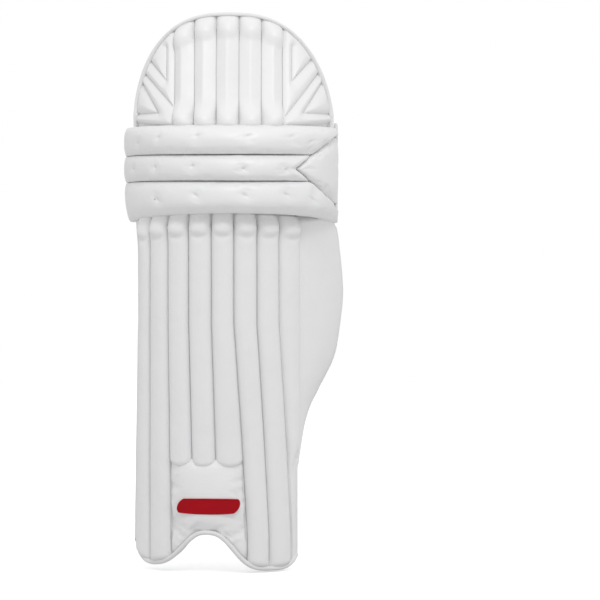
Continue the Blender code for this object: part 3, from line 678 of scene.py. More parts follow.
def stitching(name, runs, body, finish="thread", pitch=STITCH_PITCH, radius=STITCH_RADIUS):
    """Rows of single stitches, sunk at both ends, along each run of (path, outward)."""
    places, faces = [], []
    for path, outward in runs:
        for centre, along, up in resampled(path, outward, pitch):
            across = along.cross(up).normalized()
            faces += tube_faces(len(places), len(STITCH_RINGS), STITCH_SIDES)
            for reach, width, rise in STITCH_RINGS:
                at = centre + along * (reach * STITCH_LENGTH * pitch / STITCH_PITCH) + up * (rise * radius)
                places += ring_places(at, across, up, radius * width, radius * width, STITCH_SIDES)
    piece(name, new_mesh(name, places, faces), finish, body)


# ================= shin =================

def channel_bottom(index, angle):
    if index in (2, 3, 4):
        return INSTEP_TOP
    if index == 7:
        return OUTER_CHANNEL_RUN[0][0]
    return foot_z(angle) + 0.0012


def shin_angle(index, share, z):
    left = channel_side(index, z)
    right = channel_side(index + 1, z)
    if index == 7:
        right = mix(left, right, ease(OUTER_CHANNEL_RUN, z))
    return mix(left, right, share)


def channel_top(index, share):
    return SHIN_TOP + 0.003 - knee_drop(shin_angle(index, share, SHIN_TOP))


def shin_channel(index):
    """A stuffed channel: a bulb under the knee, a crease, then a long round-sided strip."""
    ends_at_instep = index in (2, 3, 4)

    def low_end(u):
        bottom = channel_bottom(index, shin_angle(index, u, FOOT_BOTTOM))
        return bottom + 0.0010 - SCALLOP * stuffed(u, 2.0, 0.5, 0.0) if ends_at_instep else bottom

    def front(u, v):
        bottom, top = low_end(u), channel_top(index, u)
        z = mix(bottom, top, v)
        angle = shin_angle(index, u, z)
        fullness = mix(0.35, 1.0, ease(OUTER_CHANNEL_RUN, z)) if index == 7 else 1.0
        down = channel_top(index, 0.5) - z
        under_knee = smooth((BULB_HEIGHT + 0.004 - down) / 0.008)
        settled = smooth((down - BULB_HEIGHT) / 0.050)
        body = mix(mix(0.84, 1.0, settled) * stuffed(u), stuffed(u, 2.4, 0.5), under_knee)
        lift = BULB_LIFT * bell(down - 0.0170, 0.0115) * stuffed(u, 2.6, 0.60) * (0.3 if index == 0 else 1.0)
        lift -= BULB_RECESS * (1.0 - smooth(down / 0.022))
        smile = BULB_HEIGHT + 0.0030 - 0.0085 * (2.0 * u - 1.0) ** 2
        crease = 0.0018 * bell(down - smile, 0.0040) * stuffed(u, 3.0, 0.8)
        height = SEAM_INSET * body * fullness * round_end(z - bottom, CHANNEL_END)
        place = face_point(angle, z)
        sway = uneven(place + Vector((0.0, 0.0, index))) * (0.35 + body)
        return face_point(angle, z, SEAM_INSET - height - lift * fullness + crease - sway)

    def back(u, v):
        z = mix(low_end(u) + 0.001, channel_top(index, u), v)
        return face_point(shin_angle(index, u, z), z, BOARD_INSET - 0.0015)
    body_piece(f"channel_cover_{index + 1}", front, back, (steps(22, 0.6), steps(170)), "leather",
               node=f"shin_channel_{index + 1}")


def shin_stitching():
    runs = []
    for seam in range(1, SHIN_CHANNELS):
        low = INSTEP_TOP if seam in (3, 4) else foot_z(channel_side(seam, FOOT_BOTTOM)) + 0.010
        if seam == 7:
            low = FOOT_BOTTOM + 0.025
        top = SHIN_TOP - 0.010 - knee_drop(channel_side(seam, SHIN_TOP))
        runs.append(face_run(lambda t: (channel_side(seam, mix(low, top, t)), mix(low, top, t),
                                        SEAM_INSET - 0.0008)))
    stitching("shin_seam_stitches", runs, "pad_body")


def instep_angle(u, z):
    return mix(channel_side(2, z), channel_side(5, z), u)


def instep_z(u, v):
    low = foot_z(instep_angle(u, FOOT_BOTTOM)) + 0.0010
    return mix(low, INSTEP_TOP + 0.002, v)


def instep_inset(u, v):
    """The instep panel: softly domed, tight along its seams."""
    dome = 0.0050 * stuffed(u, 2.4, 0.7) * stuffed(v, 2.4, 0.7)
    edge = 0.0030 * (1.0 - stuffed(u, 9.0, 0.5)) + 0.0030 * (1.0 - stuffed(v, 8.0, 0.5))
    return SEAM_INSET - 0.0022 - dome + edge


def instep_spot(u, v, lift):
    z = instep_z(u, v)
    return instep_angle(u, z), z, instep_inset(u, v) - lift


def instep_panel():
    def front(u, v):
        angle, z, inset = instep_spot(u, v, 0.0)
        return face_point(angle, z, inset - uneven(face_point(angle, z), 30.0))

    def back(u, v):
        z = instep_z(u, v)
        return face_point(instep_angle(u, z), z, BOARD_INSET - 0.0015)
    us, vs = steps(44, 0.4), steps(56, 0.4)
    swollen = inflate("instep_cloth", rows(front, us, vs), lambda j, i: False, 6.0, 0.02, cap=0.003)
    body_piece("instep_cover", front, back, (us, vs), "smooth_leather", node="instep_panel",
               relaxed=swollen)
    runs = [face_run(lambda t: instep_spot(u, mix(0.04, 0.97, t), 0.0004), 40) for u in (0.03, 0.97)]
    runs.append(face_run(lambda t: instep_spot(mix(0.03, 0.97, t), 0.045, 0.0004), 60))
    stitching("instep_stitches", runs, "pad_body")


PATCH_CENTRE_Z = -0.4305
PATCH_HALF_WIDE = 0.0395
PATCH_HALF_HIGH = 0.0102
PATCH_SLANT = 0.35


def instep_patch():
    """A plain red woven lozenge sewn to the instep, with a border."""
    def at(s, t, lift):
        x = SHIN_CENTRE_X - 0.0178 + PATCH_HALF_WIDE * s + PATCH_HALF_HIGH * PATCH_SLANT * t
        z = PATCH_CENTRE_Z + PATCH_HALF_HIGH * t
        angle = edge_angle(x, z)
        u = (angle - instep_angle(0.0, z)) / (instep_angle(1.0, z) - instep_angle(0.0, z))
        low = instep_z(u, 0.0)
        v = (z - low) / (instep_z(u, 1.0) - low)
        return face_point(angle, z, instep_inset(u, v) - 0.0030 - lift)

    def shaped(u, v):
        s, t = 2.0 * u - 1.0, 2.0 * v - 1.0
        corner = 1.0 - 0.12 * (s * t) ** 2
        return s * corner, t * corner

    def front(u, v):
        s, t = shaped(u, v)
        rim = min(1.0 - abs(s), (1.0 - abs(t)) * 0.26)
        border = 0.0005 * bell(rim - 0.030, 0.020)
        return at(s, t, 0.0004 + border)

    def back(u, v):
        s, t = shaped(u, v)
        return at(s, t, -0.0022)
    body_piece("instep_red_patch", front, back, (steps(70, 0.3), steps(26, 0.3)), "patch")


def outer_margin():
    """Flat strip between channel 7 and the lower outer edge, with a stitched fold down it."""
    def place_at(u, v, inset):
        angle = mix(channel_side(7, FOOT_BOTTOM), outer_edge(FOOT_BOTTOM), u)
        z = mix(foot_z(angle) + 0.001, INSTEP_TOP + 0.006, v)
        angle = mix(channel_side(7, z), outer_edge(z) + math.radians(1.2), u)
        return face_point(angle, z, inset)

    def front(u, v):
        inset = SEAM_INSET - 0.0006 - 0.0034 * stuffed(u, 2.4, 0.6)
        return place_at(u, v, inset - uneven(place_at(u, v, 0.0)))
    body_piece("outer_margin_cover", front, lambda u, v: place_at(u, v, BOARD_INSET - 0.0015),
               (steps(20, 0.4), steps(70)), "leather", node="outer_margin")
    path = [place_at(0.12, v, SEAM_INSET - 0.0026) for v in steps(40)]
    stitching("outer_margin_stitches", [(path, [face_outward(SHIN_RIGHT_ANGLE)] * len(path))], "pad_body")


def shin_side_wall():
    def surface(u, v, side):
        low = foot_z(channel_side(0, FOOT_BOTTOM)) + 0.002
        z = mix(low, SHIN_TOP - 0.002 - knee_drop(SHIN_LEFT_ANGLE), v)
        bulge = (0.2 + 0.6 * side * stuffed(u, 2.2, 0.7)) * round_end(z - low, 0.020)
        angle = mix(LINER_LEFT_ANGLE, WALL_ANGLE, u * u) - math.radians(bulge)
        angle = mix(angle, channel_side(0, z), u**7)
        place = face_point(angle, z, mix(LINER_INSET + LINER_THICKNESS, SEAM_INSET - 0.0045, u))
        return place + face_outward(angle - math.pi / 2) * uneven(place)
    body_piece("shin_side_cover", lambda u, v: surface(u, v, 1.0), lambda u, v: surface(u, v, -0.4),
               (steps(10, 0.3), steps(120)), "leather", node="shin_side_wall")


def shin_liner():
    """Inner lining over thin foam, quilted in upright channels."""
    count = 7

    def at(u, v, inset):
        right = outer_edge(mix(FOOT_BOTTOM, SHIN_TOP, v)) - math.radians(1.0)
        angle = mix(LINER_LEFT_ANGLE, right, u)
        z = mix(foot_z(angle) + 0.003, SHIN_TOP - 0.002 - knee_drop(angle), v)
        return face_point(angle, z, inset)

    def inner(u, v):
        t = (u * count) % 1.0
        puff = 0.0032 * stuffed(t, 2.4, 0.6) * round_end(min(v, 1.0 - v) * 0.44, 0.012)
        place = at(u, v, 0.0)
        edge = LINER_THICKNESS * (1.0 - round_end(min(u, 1.0 - u) * 0.23, 0.006))
        return at(u, v, LINER_INSET + LINER_THICKNESS - 0.0022 - edge * 0.6 + puff + uneven(place))
    body_piece("lining_cover", inner, lambda u, v: at(u, v, LINER_INSET - 0.001), (steps(112), steps(110)),
               "lining", node="shin_liner")
    runs = []
    for seam in range(1, count):
        path = [at(seam / count, mix(0.02, 0.98, v), LINER_INSET + LINER_THICKNESS - 0.0018)
                for v in steps(90)]
        away = -face_outward(mix(SHIN_LEFT_ANGLE, SHIN_RIGHT_ANGLE, seam / count))
        runs.append((path, [away] * len(path)))
    stitching("lining_stitches", runs, "pad_body", pitch=0.0036)


def shin_bolster(name, centre, node):
    """Upright foam bolster under a mesh cover, quilted across."""
    def spot(u, v):
        return centre + mix(-BOLSTER_HALF_ANGLE, BOLSTER_HALF_ANGLE, u), mix(*BOLSTER_Z, v)

    def inner(u, v):
        across = stuffed(u, 2.2, 0.6, 0.0)
        quilt = 0.0016 * bell(((v * 6.0) % 1.0) - 0.5, 0.09)
        ends = round_end(min(v, 1.0 - v) * (BOLSTER_Z[1] - BOLSTER_Z[0]), 0.014)
        inset = LINER_INSET + LINER_THICKNESS - 0.0005 + (0.0205 * across - quilt) * ends
        return face_point(*spot(u, v), inset + uneven(face_point(*spot(u, v))))
    body_piece(name, inner, lambda u, v: face_point(*spot(u, v), LINER_INSET + LINER_THICKNESS - 0.003),
               (steps(26, 0.5), steps(120, 0.1)), "mesh", node=node)


# ================= outer wing =================

def wing_reach(z):
    return ease((
        (WING_BOTTOM, 0.004), (-0.335, 0.026), (-0.290, 0.051), (-0.250, 0.073),
        (-0.200, 0.083), (-0.165, 0.086), (-0.100, 0.076), (WING_TOP, 0.068),
    ), z)


def wing_heading(z):
    turns = ((WING_BOTTOM, 86.0), (-0.335, 79.0), (-0.290, 62.0), (-0.240, 53.0), (WING_TOP, 50.0))
    return math.radians(ease(turns, z))


def wing_along(z):
    heading = wing_heading(z)
    return Vector((math.cos(heading), math.sin(heading), 0.0))


def wing_outward(z):
    along = wing_along(z)
    return Vector((along.y, -along.x, 0.0))


def wing_seam(z, inset=0.0):
    return face_point(SHIN_RIGHT_ANGLE, z, SEAM_INSET + inset) + WING_SEAM_GAP * wing_along(z)


def wing_point(u, z, inset=0.0):
    reach = wing_reach(z)
    bow = 0.006 * math.sin(math.pi * u) * min(1.0, reach / 0.06)
    return wing_seam(z) + wing_along(z) * mix(-WING_TUCK, reach, u) + wing_outward(z) * (bow - inset)


def wing_z(u, v):
    return mix(WING_BOTTOM - 0.004, WING_TOP + 0.012 - 0.5 * WING_TOP_FALL * u, v)


def outer_wing():
    """Large smooth wing over foam: full near the seam, thin where its edge is bound."""
    def front(u, v):
        z = wing_z(u, v)
        across = min(u, 1.0 - u) * wing_reach(z)
        rounded = 0.0030 * (1.0 - round_end(across, 0.012))
        place = wing_point(u, z)
        broad = 0.0016 * noise.noise(place * 9.0) * smooth(across / 0.02)
        under_knee = 0.55 * max(z - WING_TOP, 0.0)
        return wing_point(u, z, rounded - broad - uneven(place, 18.0) - 0.0010 + under_knee)

    def back(u, v):
        z = wing_z(u, v)
        across = min(u, 1.0 - u) * wing_reach(z)
        quilt = 0.0009 * bell(across - 0.011, 0.0022)
        depth = mix(0.45, 0.95, round_end(across, 0.014)) * WING_THICKNESS
        place = wing_point(u, z)
        return wing_point(u, z, depth - quilt + uneven(place))
    body_piece("wing_cover", front, back, (steps(46, 0.5), steps(120, 0.1)), "smooth_leather", "wing_bend",
               "outer_wing")

    def edge_run(top, bottom, count, at):
        heights = [mix(top, bottom, share) for share in steps(count)]
        return [at(z) for z in heights], [wing_outward(z) for z in heights]
    bound = WING_TOP - WING_TOP_FALL
    edge, outward = edge_run(bound + 0.002, WING_BOTTOM + 0.001, 140, lambda z: (
        wing_point(1.0, z, 0.45 * WING_THICKNESS) + 0.0006 * wing_along(z)))
    sweep("wing_edge_binding", edge, outward, BINDING_RADIUS * 0.86, BINDING_RADIUS * 1.05, "binding",
          "wing_bend", ("wing_binding",))
    runs = []
    for inset, facing in ((0.0024, 1.0), (0.45 * WING_THICKNESS + BINDING_RADIUS * 0.5, -1.0)):
        path, away = edge_run(bound - 0.002, WING_BOTTOM + 0.006, 130, lambda z: (
            wing_point(1.0 - 0.0052 / wing_reach(z), z, inset)))
        runs.append((path, [facing * out for out in away]))
    stitching("wing_edge_stitches", runs, "wing_bend")


def wing_hook_patch():
    """Hook tape on the inner face of the wing, with rounded corners and sewn round its edge."""
    z_middle = 0.5 * (CALF_STRAP_Z[0] + CALF_STRAP_Z[1])
    low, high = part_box("wing_hook_patch")
    half_high = 0.5 * (high.z - low.z)
    half_share = 0.013 / wing_reach(z_middle)

    def at(s, t, inset):
        corner = 1.0 - 0.05 * (s * t) ** 4
        return wing_point(0.45 + half_share * s * corner, z_middle + half_high * t * corner, inset)

    body_piece("wing_hook_tape", lambda u, v: at(2.0 * u - 1.0, 2.0 * v - 1.0, WING_THICKNESS + 0.0024),
               lambda u, v: at(2.0 * u - 1.0, 2.0 * v - 1.0, WING_THICKNESS * 0.85),
               (steps(20, 0.3), steps(40, 0.3)), "hooks", "outer_wing", "wing_hook_patch")
    corners = ((-0.86, -0.93), (0.86, -0.93), (0.86, 0.93), (-0.86, 0.93), (-0.86, -0.93))
    path = [at(s, t, WING_THICKNESS + 0.0026) for s, t in along_corners(corners, 12)]
    outward = [-wing_outward(z_middle)] * len(path)
    stitching("wing_hook_stitches", [(path, outward)], "outer_wing")


# ================= knee =================

TUFTS = (
    ((-54.3, 0.0268), (-37.0, 0.0362), (-15.7, 0.0405), (8.1, 0.0408), (30.1, 0.0383), (42.9, 0.0303)),
    ((-58.7, -0.0059), (-39.5, -0.0018), (-18.0, 0.0022), (5.9, -0.0008), (27.0, -0.0035)),
    ((-39.5, -0.0420), (-17.0, -0.0343), (6.4, -0.0338), (27.0, -0.0345), (43.6, -0.0420)),
)


def roll_place(index, u, v):
    top, bottom = ROLL_EDGES[index], ROLL_EDGES[index + 1]
    z = mix(bottom, top, v)
    angle = mix(-KNEE_RIM_ANGLE - ROLL_END, wedge_edge_angle(z), u)
    if index == 2:
        z -= (knee_drop(angle) - knee_sag(angle)) * (1.0 - v)
    return angle, z


def tuft_distance(index, place, angle):
    return min(math.hypot((angle - math.radians(turn)) * FACE_RADIUS * 1.1, place.z - z)
               for turn, z in TUFTS[index])


def knee_roll(index, name):
    """A stuffed roll across the knee, drawn in at its tufts."""
    def front(u, v):
        angle, z = roll_place(index, u, v)
        place = knee_point(angle, z, 0.0)
        swell = stuffed(v, 2.0, 0.52, 0.0)
        hem = ROLL_HEM if (index == 0 and v > 0.5) or (index == 2 and v < 0.5) else ROLL_GROOVE
        length = (wedge_edge_angle(z) + KNEE_RIM_ANGLE + ROLL_END) * FACE_RADIUS
        ends = min(round_end(u * length, 0.014), round_end((1.0 - u) * length, 0.016))
        proud = ROLL_PROUD * mix(hem, 1.0, swell) * mix(0.50, 1.0, ends)
        away = tuft_distance(index, place, angle)
        proud -= TUFT_DEPTH * (0.55 * math.exp(-away / TUFT_RADIUS) + 0.45 * bell(away, TUFT_RADIUS * 0.42))
        return knee_point(angle, z, -proud - 2.2 * uneven(place + Vector((index, 0.0, 0.0)), 17.0))

    def back(u, v):
        angle, z = roll_place(index, u, v)
        return knee_point(angle, z, BOARD_INSET - 0.0045)

    def held(j, i):
        angle, z = roll_place(index, us[i], vs[j])
        return tuft_distance(index, knee_point(angle, z, 0.0), angle) < TUFT_HELD
    us, vs = steps(190), steps(30, 0.45)
    swollen = inflate(name + "_cloth", rows(front, us, vs), held, 3.0, 0.006, cap=0.0012)
    body_piece(name + "_cover", front, back, (us, vs), "leather", node=name, relaxed=swollen)
    knots = []
    for turn, z in TUFTS[index]:
        place = min((place for row in swollen for place in row), key=lambda place: (
            math.hypot(edge_turn(place) - math.radians(turn), (place.z - z) / FACE_RADIUS)))
        out = face_outward(edge_turn(place))
        side = out.cross(Vector((0.0, 0.0, 1.0)))
        knots.append(([place + side * reach + out * 0.0002 for reach in (-0.0008, 0.0008)], [out, out]))
    return knots


def edge_turn(place):
    return math.atan2(place.x - KNEE_CENTRE_X, FACE_FRONT + FACE_RADIUS - place.y)


def knee_wedge():
    """Smooth side piece that the three rolls run into on the outer side."""
    reach = (KNEE_CENTRE_X + FACE_RADIUS - WEDGE_APEX_X) / WEDGE_FLARE

    def at(u, v, inset):
        z = mix(WEDGE_APEX_Z - reach, WEDGE_APEX_Z + reach, v)
        angle = mix(wedge_edge_angle(z), KNEE_RIM_ANGLE + ROLL_END, u)
        return angle, z, knee_point(angle, z, inset)

    def front(u, v):
        angle, z, place = at(u, v, 0.0)
        width = (KNEE_RIM_ANGLE + ROLL_END - wedge_edge_angle(z)) * FACE_RADIUS
        seam = round_end(u * width, 0.010)
        rim = round_end((1.0 - u) * width, 0.010)
        proud = 0.80 * ROLL_PROUD * (1.0 - 0.5 * abs(2.0 * v - 1.0) ** 3) * mix(0.30, 1.0, min(seam, rim))
        return knee_point(angle, z, -proud - 1.4 * uneven(place))
    us, vs = steps(40, 0.3), steps(84)
    swollen = inflate("wedge_cloth", rows(front, us, vs), lambda j, i: False, 3.0, 0.01, cap=0.002)
    body_piece("knee_wedge_cover", front, lambda u, v: at(u, v, BOARD_INSET - 0.0045)[2], (us, vs),
               "smooth_leather", node="knee_wedge", relaxed=swollen)


def knee_cup():
    """Mesh-covered pad that locates the knee, quilted across."""
    def at(u, v, inset):
        angle = mix(-KNEE_BOARD_ANGLE, KNEE_BOARD_ANGLE, u)
        return knee_point(angle, mix(-0.050, 0.046, v), inset)

    def inner(u, v):
        ridges = 0.0030 * stuffed((v * 4.0) % 1.0, 2.2, 0.6)
        bulge = 0.5 + 0.5 * stuffed(v, 2.4, 0.6, 0.0)
        ends = round_end(min(u, 1.0 - u) * 0.28, 0.012)
        place = at(u, v, 0.0)
        return at(u, v, LINER_INSET + (0.018 * bulge + ridges) * mix(0.35, 1.0, ends) + uneven(place))
    body_piece("knee_cup_cover", inner, lambda u, v: at(u, v, LINER_INSET), (steps(90, 0.2), steps(64)),
               "mesh", node="knee_cup")


def knee_binding(name, side):
    """Doubled piping down the rear rim of the knee."""
    rim = KNEE_RIM_ANGLE + ROLL_END
    low = ROLL_EDGES[3] - KNEE_DROP + KNEE_SAG
    pipes = ((0.6, -0.0010, 0.78), (-1.6, -0.0050, 0.50)) if side > 0 else ((0.2, 0.0045, 0.70),)
    for number, (turn, inset, scale) in enumerate(pipes):
        angle = side * (rim + math.radians(turn))
        high = ROLL_EDGES[0] + (0.006 if side > 0 else -0.006)
        path = [knee_point(angle, mix(low, high, n / 60), inset) for n in range(61)]
        sweep(f"{name}_{number + 1}", path, [face_outward(angle)] * len(path), BINDING_RADIUS * scale,
              BINDING_RADIUS * scale, "binding", "pad_body", () if number else (name,))


# ================= dome =================

def dome_column(index, u, v):
    angle = DOME_CHANNEL_LEFT + (index + u) * DOME_CHANNEL_ANGLE
    top = dome_crest(angle) - 0.0005
    return angle, mix(DOME_BOTTOM - 0.0060 - knee_sag(angle), top, v), top


def dome_channel(index):
    """A channel of the dome: a bulb at each end and a faceted ridge between them."""
    def front(u, v):
        angle, z, top = dome_column(index, u, v)
        from_top = top - z
        from_base = z - DOME_BOTTOM + 0.0035
        upper = 1.0 - smooth((from_top - TOP_BULB * 0.62) / (TOP_BULB * 0.85))
        lower = 1.0 - smooth((from_base - LOWER_BULB * 0.55) / (LOWER_BULB * 0.85))
        bulb = max(upper, lower)
        gable = clamp(1.0 - abs(u - 0.47) / (0.47 if u < 0.47 else 0.53))
        ridge = 0.88 * mix(gable, stuffed(u, 2.0, 0.8), 0.12)
        height = SEAM_INSET * mix(ridge, stuffed(u, 2.1, 0.52), bulb)
        upper_lift = bell(from_top - TOP_BULB * 0.50, TOP_BULB * 0.42)
        lower_lift = bell(from_base - LOWER_BULB * 0.42, LOWER_BULB * 0.44)
        lift = DOME_BULB_LIFT * max(upper_lift, 1.35 * lower_lift) * stuffed(u, 2.0, 0.8)
        ends = round_end(from_top, 0.010)
        smile = TOP_BULB * 1.12 - 0.004 * (2.0 * u - 1.0) ** 2
        crease = 0.0006 * bell(from_top - smile, 0.0045) * stuffed(u, 3.0)
        place = face_point(angle, z)
        sway = uneven(place + Vector((index, 0.0, 0.0)), 34.0)
        return face_point(angle, z, SEAM_INSET - (height + lift) * mix(0.12, 1.0, ends) + crease - sway)

    def back(u, v):
        angle, z, top = dome_column(index, u, v)
        return face_point(angle, z, BOARD_INSET - 0.0015 + 0.0022 * smooth((z - DOME_BOARD_TOP) / 0.004))
    body_piece(f"dome_cover_{index + 1}", front, back, (steps(30, 0.35), steps(96)), "leather",
               node=f"dome_channel_{index + 1}")


def dome_stitching():
    runs = []
    for seam in range(DOME_CHANNELS + 1):
        angle = DOME_CHANNEL_LEFT + seam * DOME_CHANNEL_ANGLE
        top = dome_crest(angle) - 0.016
        runs.append(face_run(lambda t: (angle, mix(DOME_BOTTOM + 0.002, top, t), SEAM_INSET - 0.0007), 50))
    stitching("dome_seam_stitches", runs, "pad_body")


# The quilting of the side panels, as (x, z) ends of sewn lines, mirrored but not quite alike.
INNER_QUILT = (
    ((-0.0832, 0.1458), (-0.0832, 0.1058)), ((-0.1100, 0.1330), (-0.0832, 0.1045)),
    ((-0.1230, 0.1220), (-0.0704, 0.0704)), ((-0.1210, 0.1080), (-0.0932, 0.0645)),
    ((-0.1300, 0.0590), (-0.0932, 0.0645)),
)
OUTER_QUILT = (
    ((0.0841, 0.1466), (0.0841, 0.1060)), ((0.1180, 0.1370), (0.0841, 0.1045)),
    ((0.1280, 0.1220), (0.0751, 0.0613)), ((0.1280, 0.1060), (0.0991, 0.0650)),
    ((0.1350, 0.0600), (0.0991, 0.0650)),
)


def dome_side(name, node, side, quilt):
    """Side panel of the dome, quilted in nested chevrons that point at the middle."""
    first = DOME_CHANNEL_LEFT if side < 0 else DOME_CHANNEL_LEFT + DOME_CHANNELS * DOME_CHANNEL_ANGLE
    crest = dome_crest(first) - 0.0005

    def at(u, v, inset):
        z = mix(DOME_BOTTOM - 0.0130, crest, v)
        rim = edge_angle(dome_edge_x(z - 0.001, side), z)
        angle = mix(first, rim + side * math.radians(0.4), u)
        if (angle - first) * side < 0.0:
            angle = first
        return angle, face_point(angle, z - knee_sag(angle) * (1.0 - v), inset)

    def front(u, v):
        angle, place = at(u, v, 0.0)
        to_rim = abs(edge_angle(dome_edge_x(place.z, side), place.z) - angle) * FACE_RADIUS
        to_channel = abs(angle - first) * FACE_RADIUS
        to_base = place.z - DOME_BOTTOM + 0.0035
        seam = min(segment_distance(place.x, place.z, *line) for line in quilt)
        near = max(min(seam, to_channel, to_rim + 0.001, to_base + 0.002), 0.0)
        puff = 0.0070 * (1.0 - math.exp(-near / 0.0050))
        inset = SEAM_INSET - 0.0006 - puff
        return at(u, v, inset - 0.7 * uneven(place, 30.0))[1]
    body_piece(name, front, lambda u, v: at(u, v, BOARD_INSET - 0.0015)[1], (steps(84, 0.15), steps(130)),
               "leather", node=node)

    runs = []
    for start, end in quilt:
        spots = []
        for share in steps(40):
            x, z = mix(start[0], end[0], share), mix(start[1], end[1], share)
            angle = edge_angle(x, z)
            inside = side * (angle - first) > 0.0 and z < crest
            if inside and side * (x - dome_edge_x(z, side)) <= -0.006:
                spots.append((angle, z, SEAM_INSET - 0.0010))
        if len(spots) > 2:
            runs.append(face_spots(spots))
    stitching(name + "_stitches", runs, "pad_body")


def dome_binding():
    """Folded binding round the dome."""
    def spot(share):
        turn = mix(DOME_RIM_START, math.pi - DOME_RIM_START, share)
        z = DOME_BASE + DOME_RISE * math.sin(turn) ** (2.0 / DOME_POWER_UP)
        return edge_angle(dome_edge_x(z, -1 if math.cos(turn) > 0.0 else 1), z), z, DOME_RIM_INSET
    path, outward = face_run(spot, 200)
    below = [Vector((0.0, 0.0, -2.6 * DOME_RIM_TAIL * n / 8)) for n in range(1, 9)]
    path = [path[0] + drop for drop in reversed(below)] + path + [path[-1] + drop for drop in below]
    outward = [outward[0]] * len(below) + outward + [outward[-1]] * len(below)
    sweep("dome_edge_binding", path, outward, BINDING_RADIUS * 0.72, BINDING_RADIUS * 1.12, "binding",
          "pad_body", ("dome_binding",))


def dome_liner():
    """Padded rear liner of the dome, quilted in a grid."""
    top = 0.174
    radius = FACE_RADIUS - LINER_INSET

    def at(u, v, inset):
        z = mix(DOME_BOTTOM + 0.002, top, v)
        to_rear = math.acos((FACE_RADIUS + apex_y(z) - DOME_LINER_REAR_Y) / radius)
        left = max(edge_angle(dome_edge_x(z, -1) + 0.009, z, LINER_INSET), -to_rear)
        right = min(edge_angle(dome_edge_x(z, 1) - 0.009, z, LINER_INSET), to_rear)
        return face_point(mix(left, right, u), z, inset)

    def inner(u, v):
        edge = min(min(u, 1.0 - u) * 0.22, min(v, 1.0 - v) * (top - DOME_BOTTOM))
        slopes = abs((6.0 * u + 3.0 * v) % 1.0 - 0.5) * 2.0, abs((6.0 * u - 3.0 * v) % 1.0 - 0.5) * 2.0
        seam = min(1.0 - slopes[0], 1.0 - slopes[1])
        puff = 0.0034 * (1.0 - math.exp(-seam / 0.16))
        place = at(u, v, 0.0)
        depth = 0.0165 * round_end(edge, 0.012) + puff * smooth(edge / 0.01)
        return at(u, v, LINER_INSET + 0.0015 + depth + uneven(place))
    body_piece("dome_liner_cover", inner, lambda u, v: at(u, v, LINER_INSET + 0.0005),
               (steps(110, 0.2), steps(84, 0.2)), "mesh", node="dome_liner")


# ================= lower edge =================

def foot_binding():
    """Binding from the inner side, round both feet and up the outer side to the wing."""
    corner = math.radians(0.9)
    path, outward = [], []
    top = SHIN_TOP - 0.002 - knee_drop(SHIN_LEFT_ANGLE)
    left = channel_side(0, FOOT_BOTTOM) - corner
    low = foot_z(left)
    for n in range(80):
        z = mix(top, low + 0.002, n / 80)
        behind = mix(FOOT_BINDING_TUCK, 0.0055, smooth((z - low) / 0.050))
        edge = mix(channel_side(0, z) - corner, WALL_ANGLE, smooth((z - low) / 0.050))
        path.append(face_point(edge, z, RIM_INSET + behind))
        outward.append(face_outward(SHIN_LEFT_ANGLE))
    for n in range(181):
        angle = mix(left, outer_edge(FOOT_BOTTOM) + corner, n / 180)
        tucked = 1.0 - smooth((angle - left) / math.radians(12.0))
        place = face_point(angle, foot_z(angle) + 0.0005, RIM_INSET - 0.0012)
        path.append(place - face_outward(angle) * tucked * (FOOT_BINDING_TUCK + 0.0012))
        outward.append(face_outward(angle))
    for n in range(1, 50):
        z = mix(foot_z(outer_edge(FOOT_BOTTOM) + corner), WING_BOTTOM - 0.002, n / 49)
        path.append(face_point(outer_edge(z) + corner, z, RIM_INSET))
        outward.append(face_outward(SHIN_RIGHT_ANGLE))
    sweep("foot_edge_binding", path, outward, BINDING_RADIUS * 0.95, BINDING_RADIUS * 1.10, "binding",
          "pad_body", ("foot_binding",))

    def spot(share):
        angle = mix(left + 2.0 * corner, outer_edge(FOOT_BOTTOM) - corner, share)
        return angle, foot_z(angle) + 0.0030, SEAM_INSET - 0.0030
    stitching("foot_edge_stitches", [face_run(spot, 160)], "pad_body")


# ================= straps and pads behind the leg =================

def band_place(oval, turn, z, outward=0.0):
    x, y, wide, deep = oval
    return Vector((x + (wide + outward) * math.cos(turn), y + (deep + outward) * math.sin(turn), z))


def band_run(oval, turns, spots):
    """Places and outward directions of (share round, z, outward) spots on a band."""
    path, away = [], []
    for u, z, outward in spots:
        turn = mix(math.radians(turns[0]), math.radians(turns[1]), u)
        path.append(band_place(oval, turn, z, outward))
        away.append(Vector((math.cos(turn) / oval[2], math.sin(turn) / oval[3], 0.0)).normalized())
    return path, away


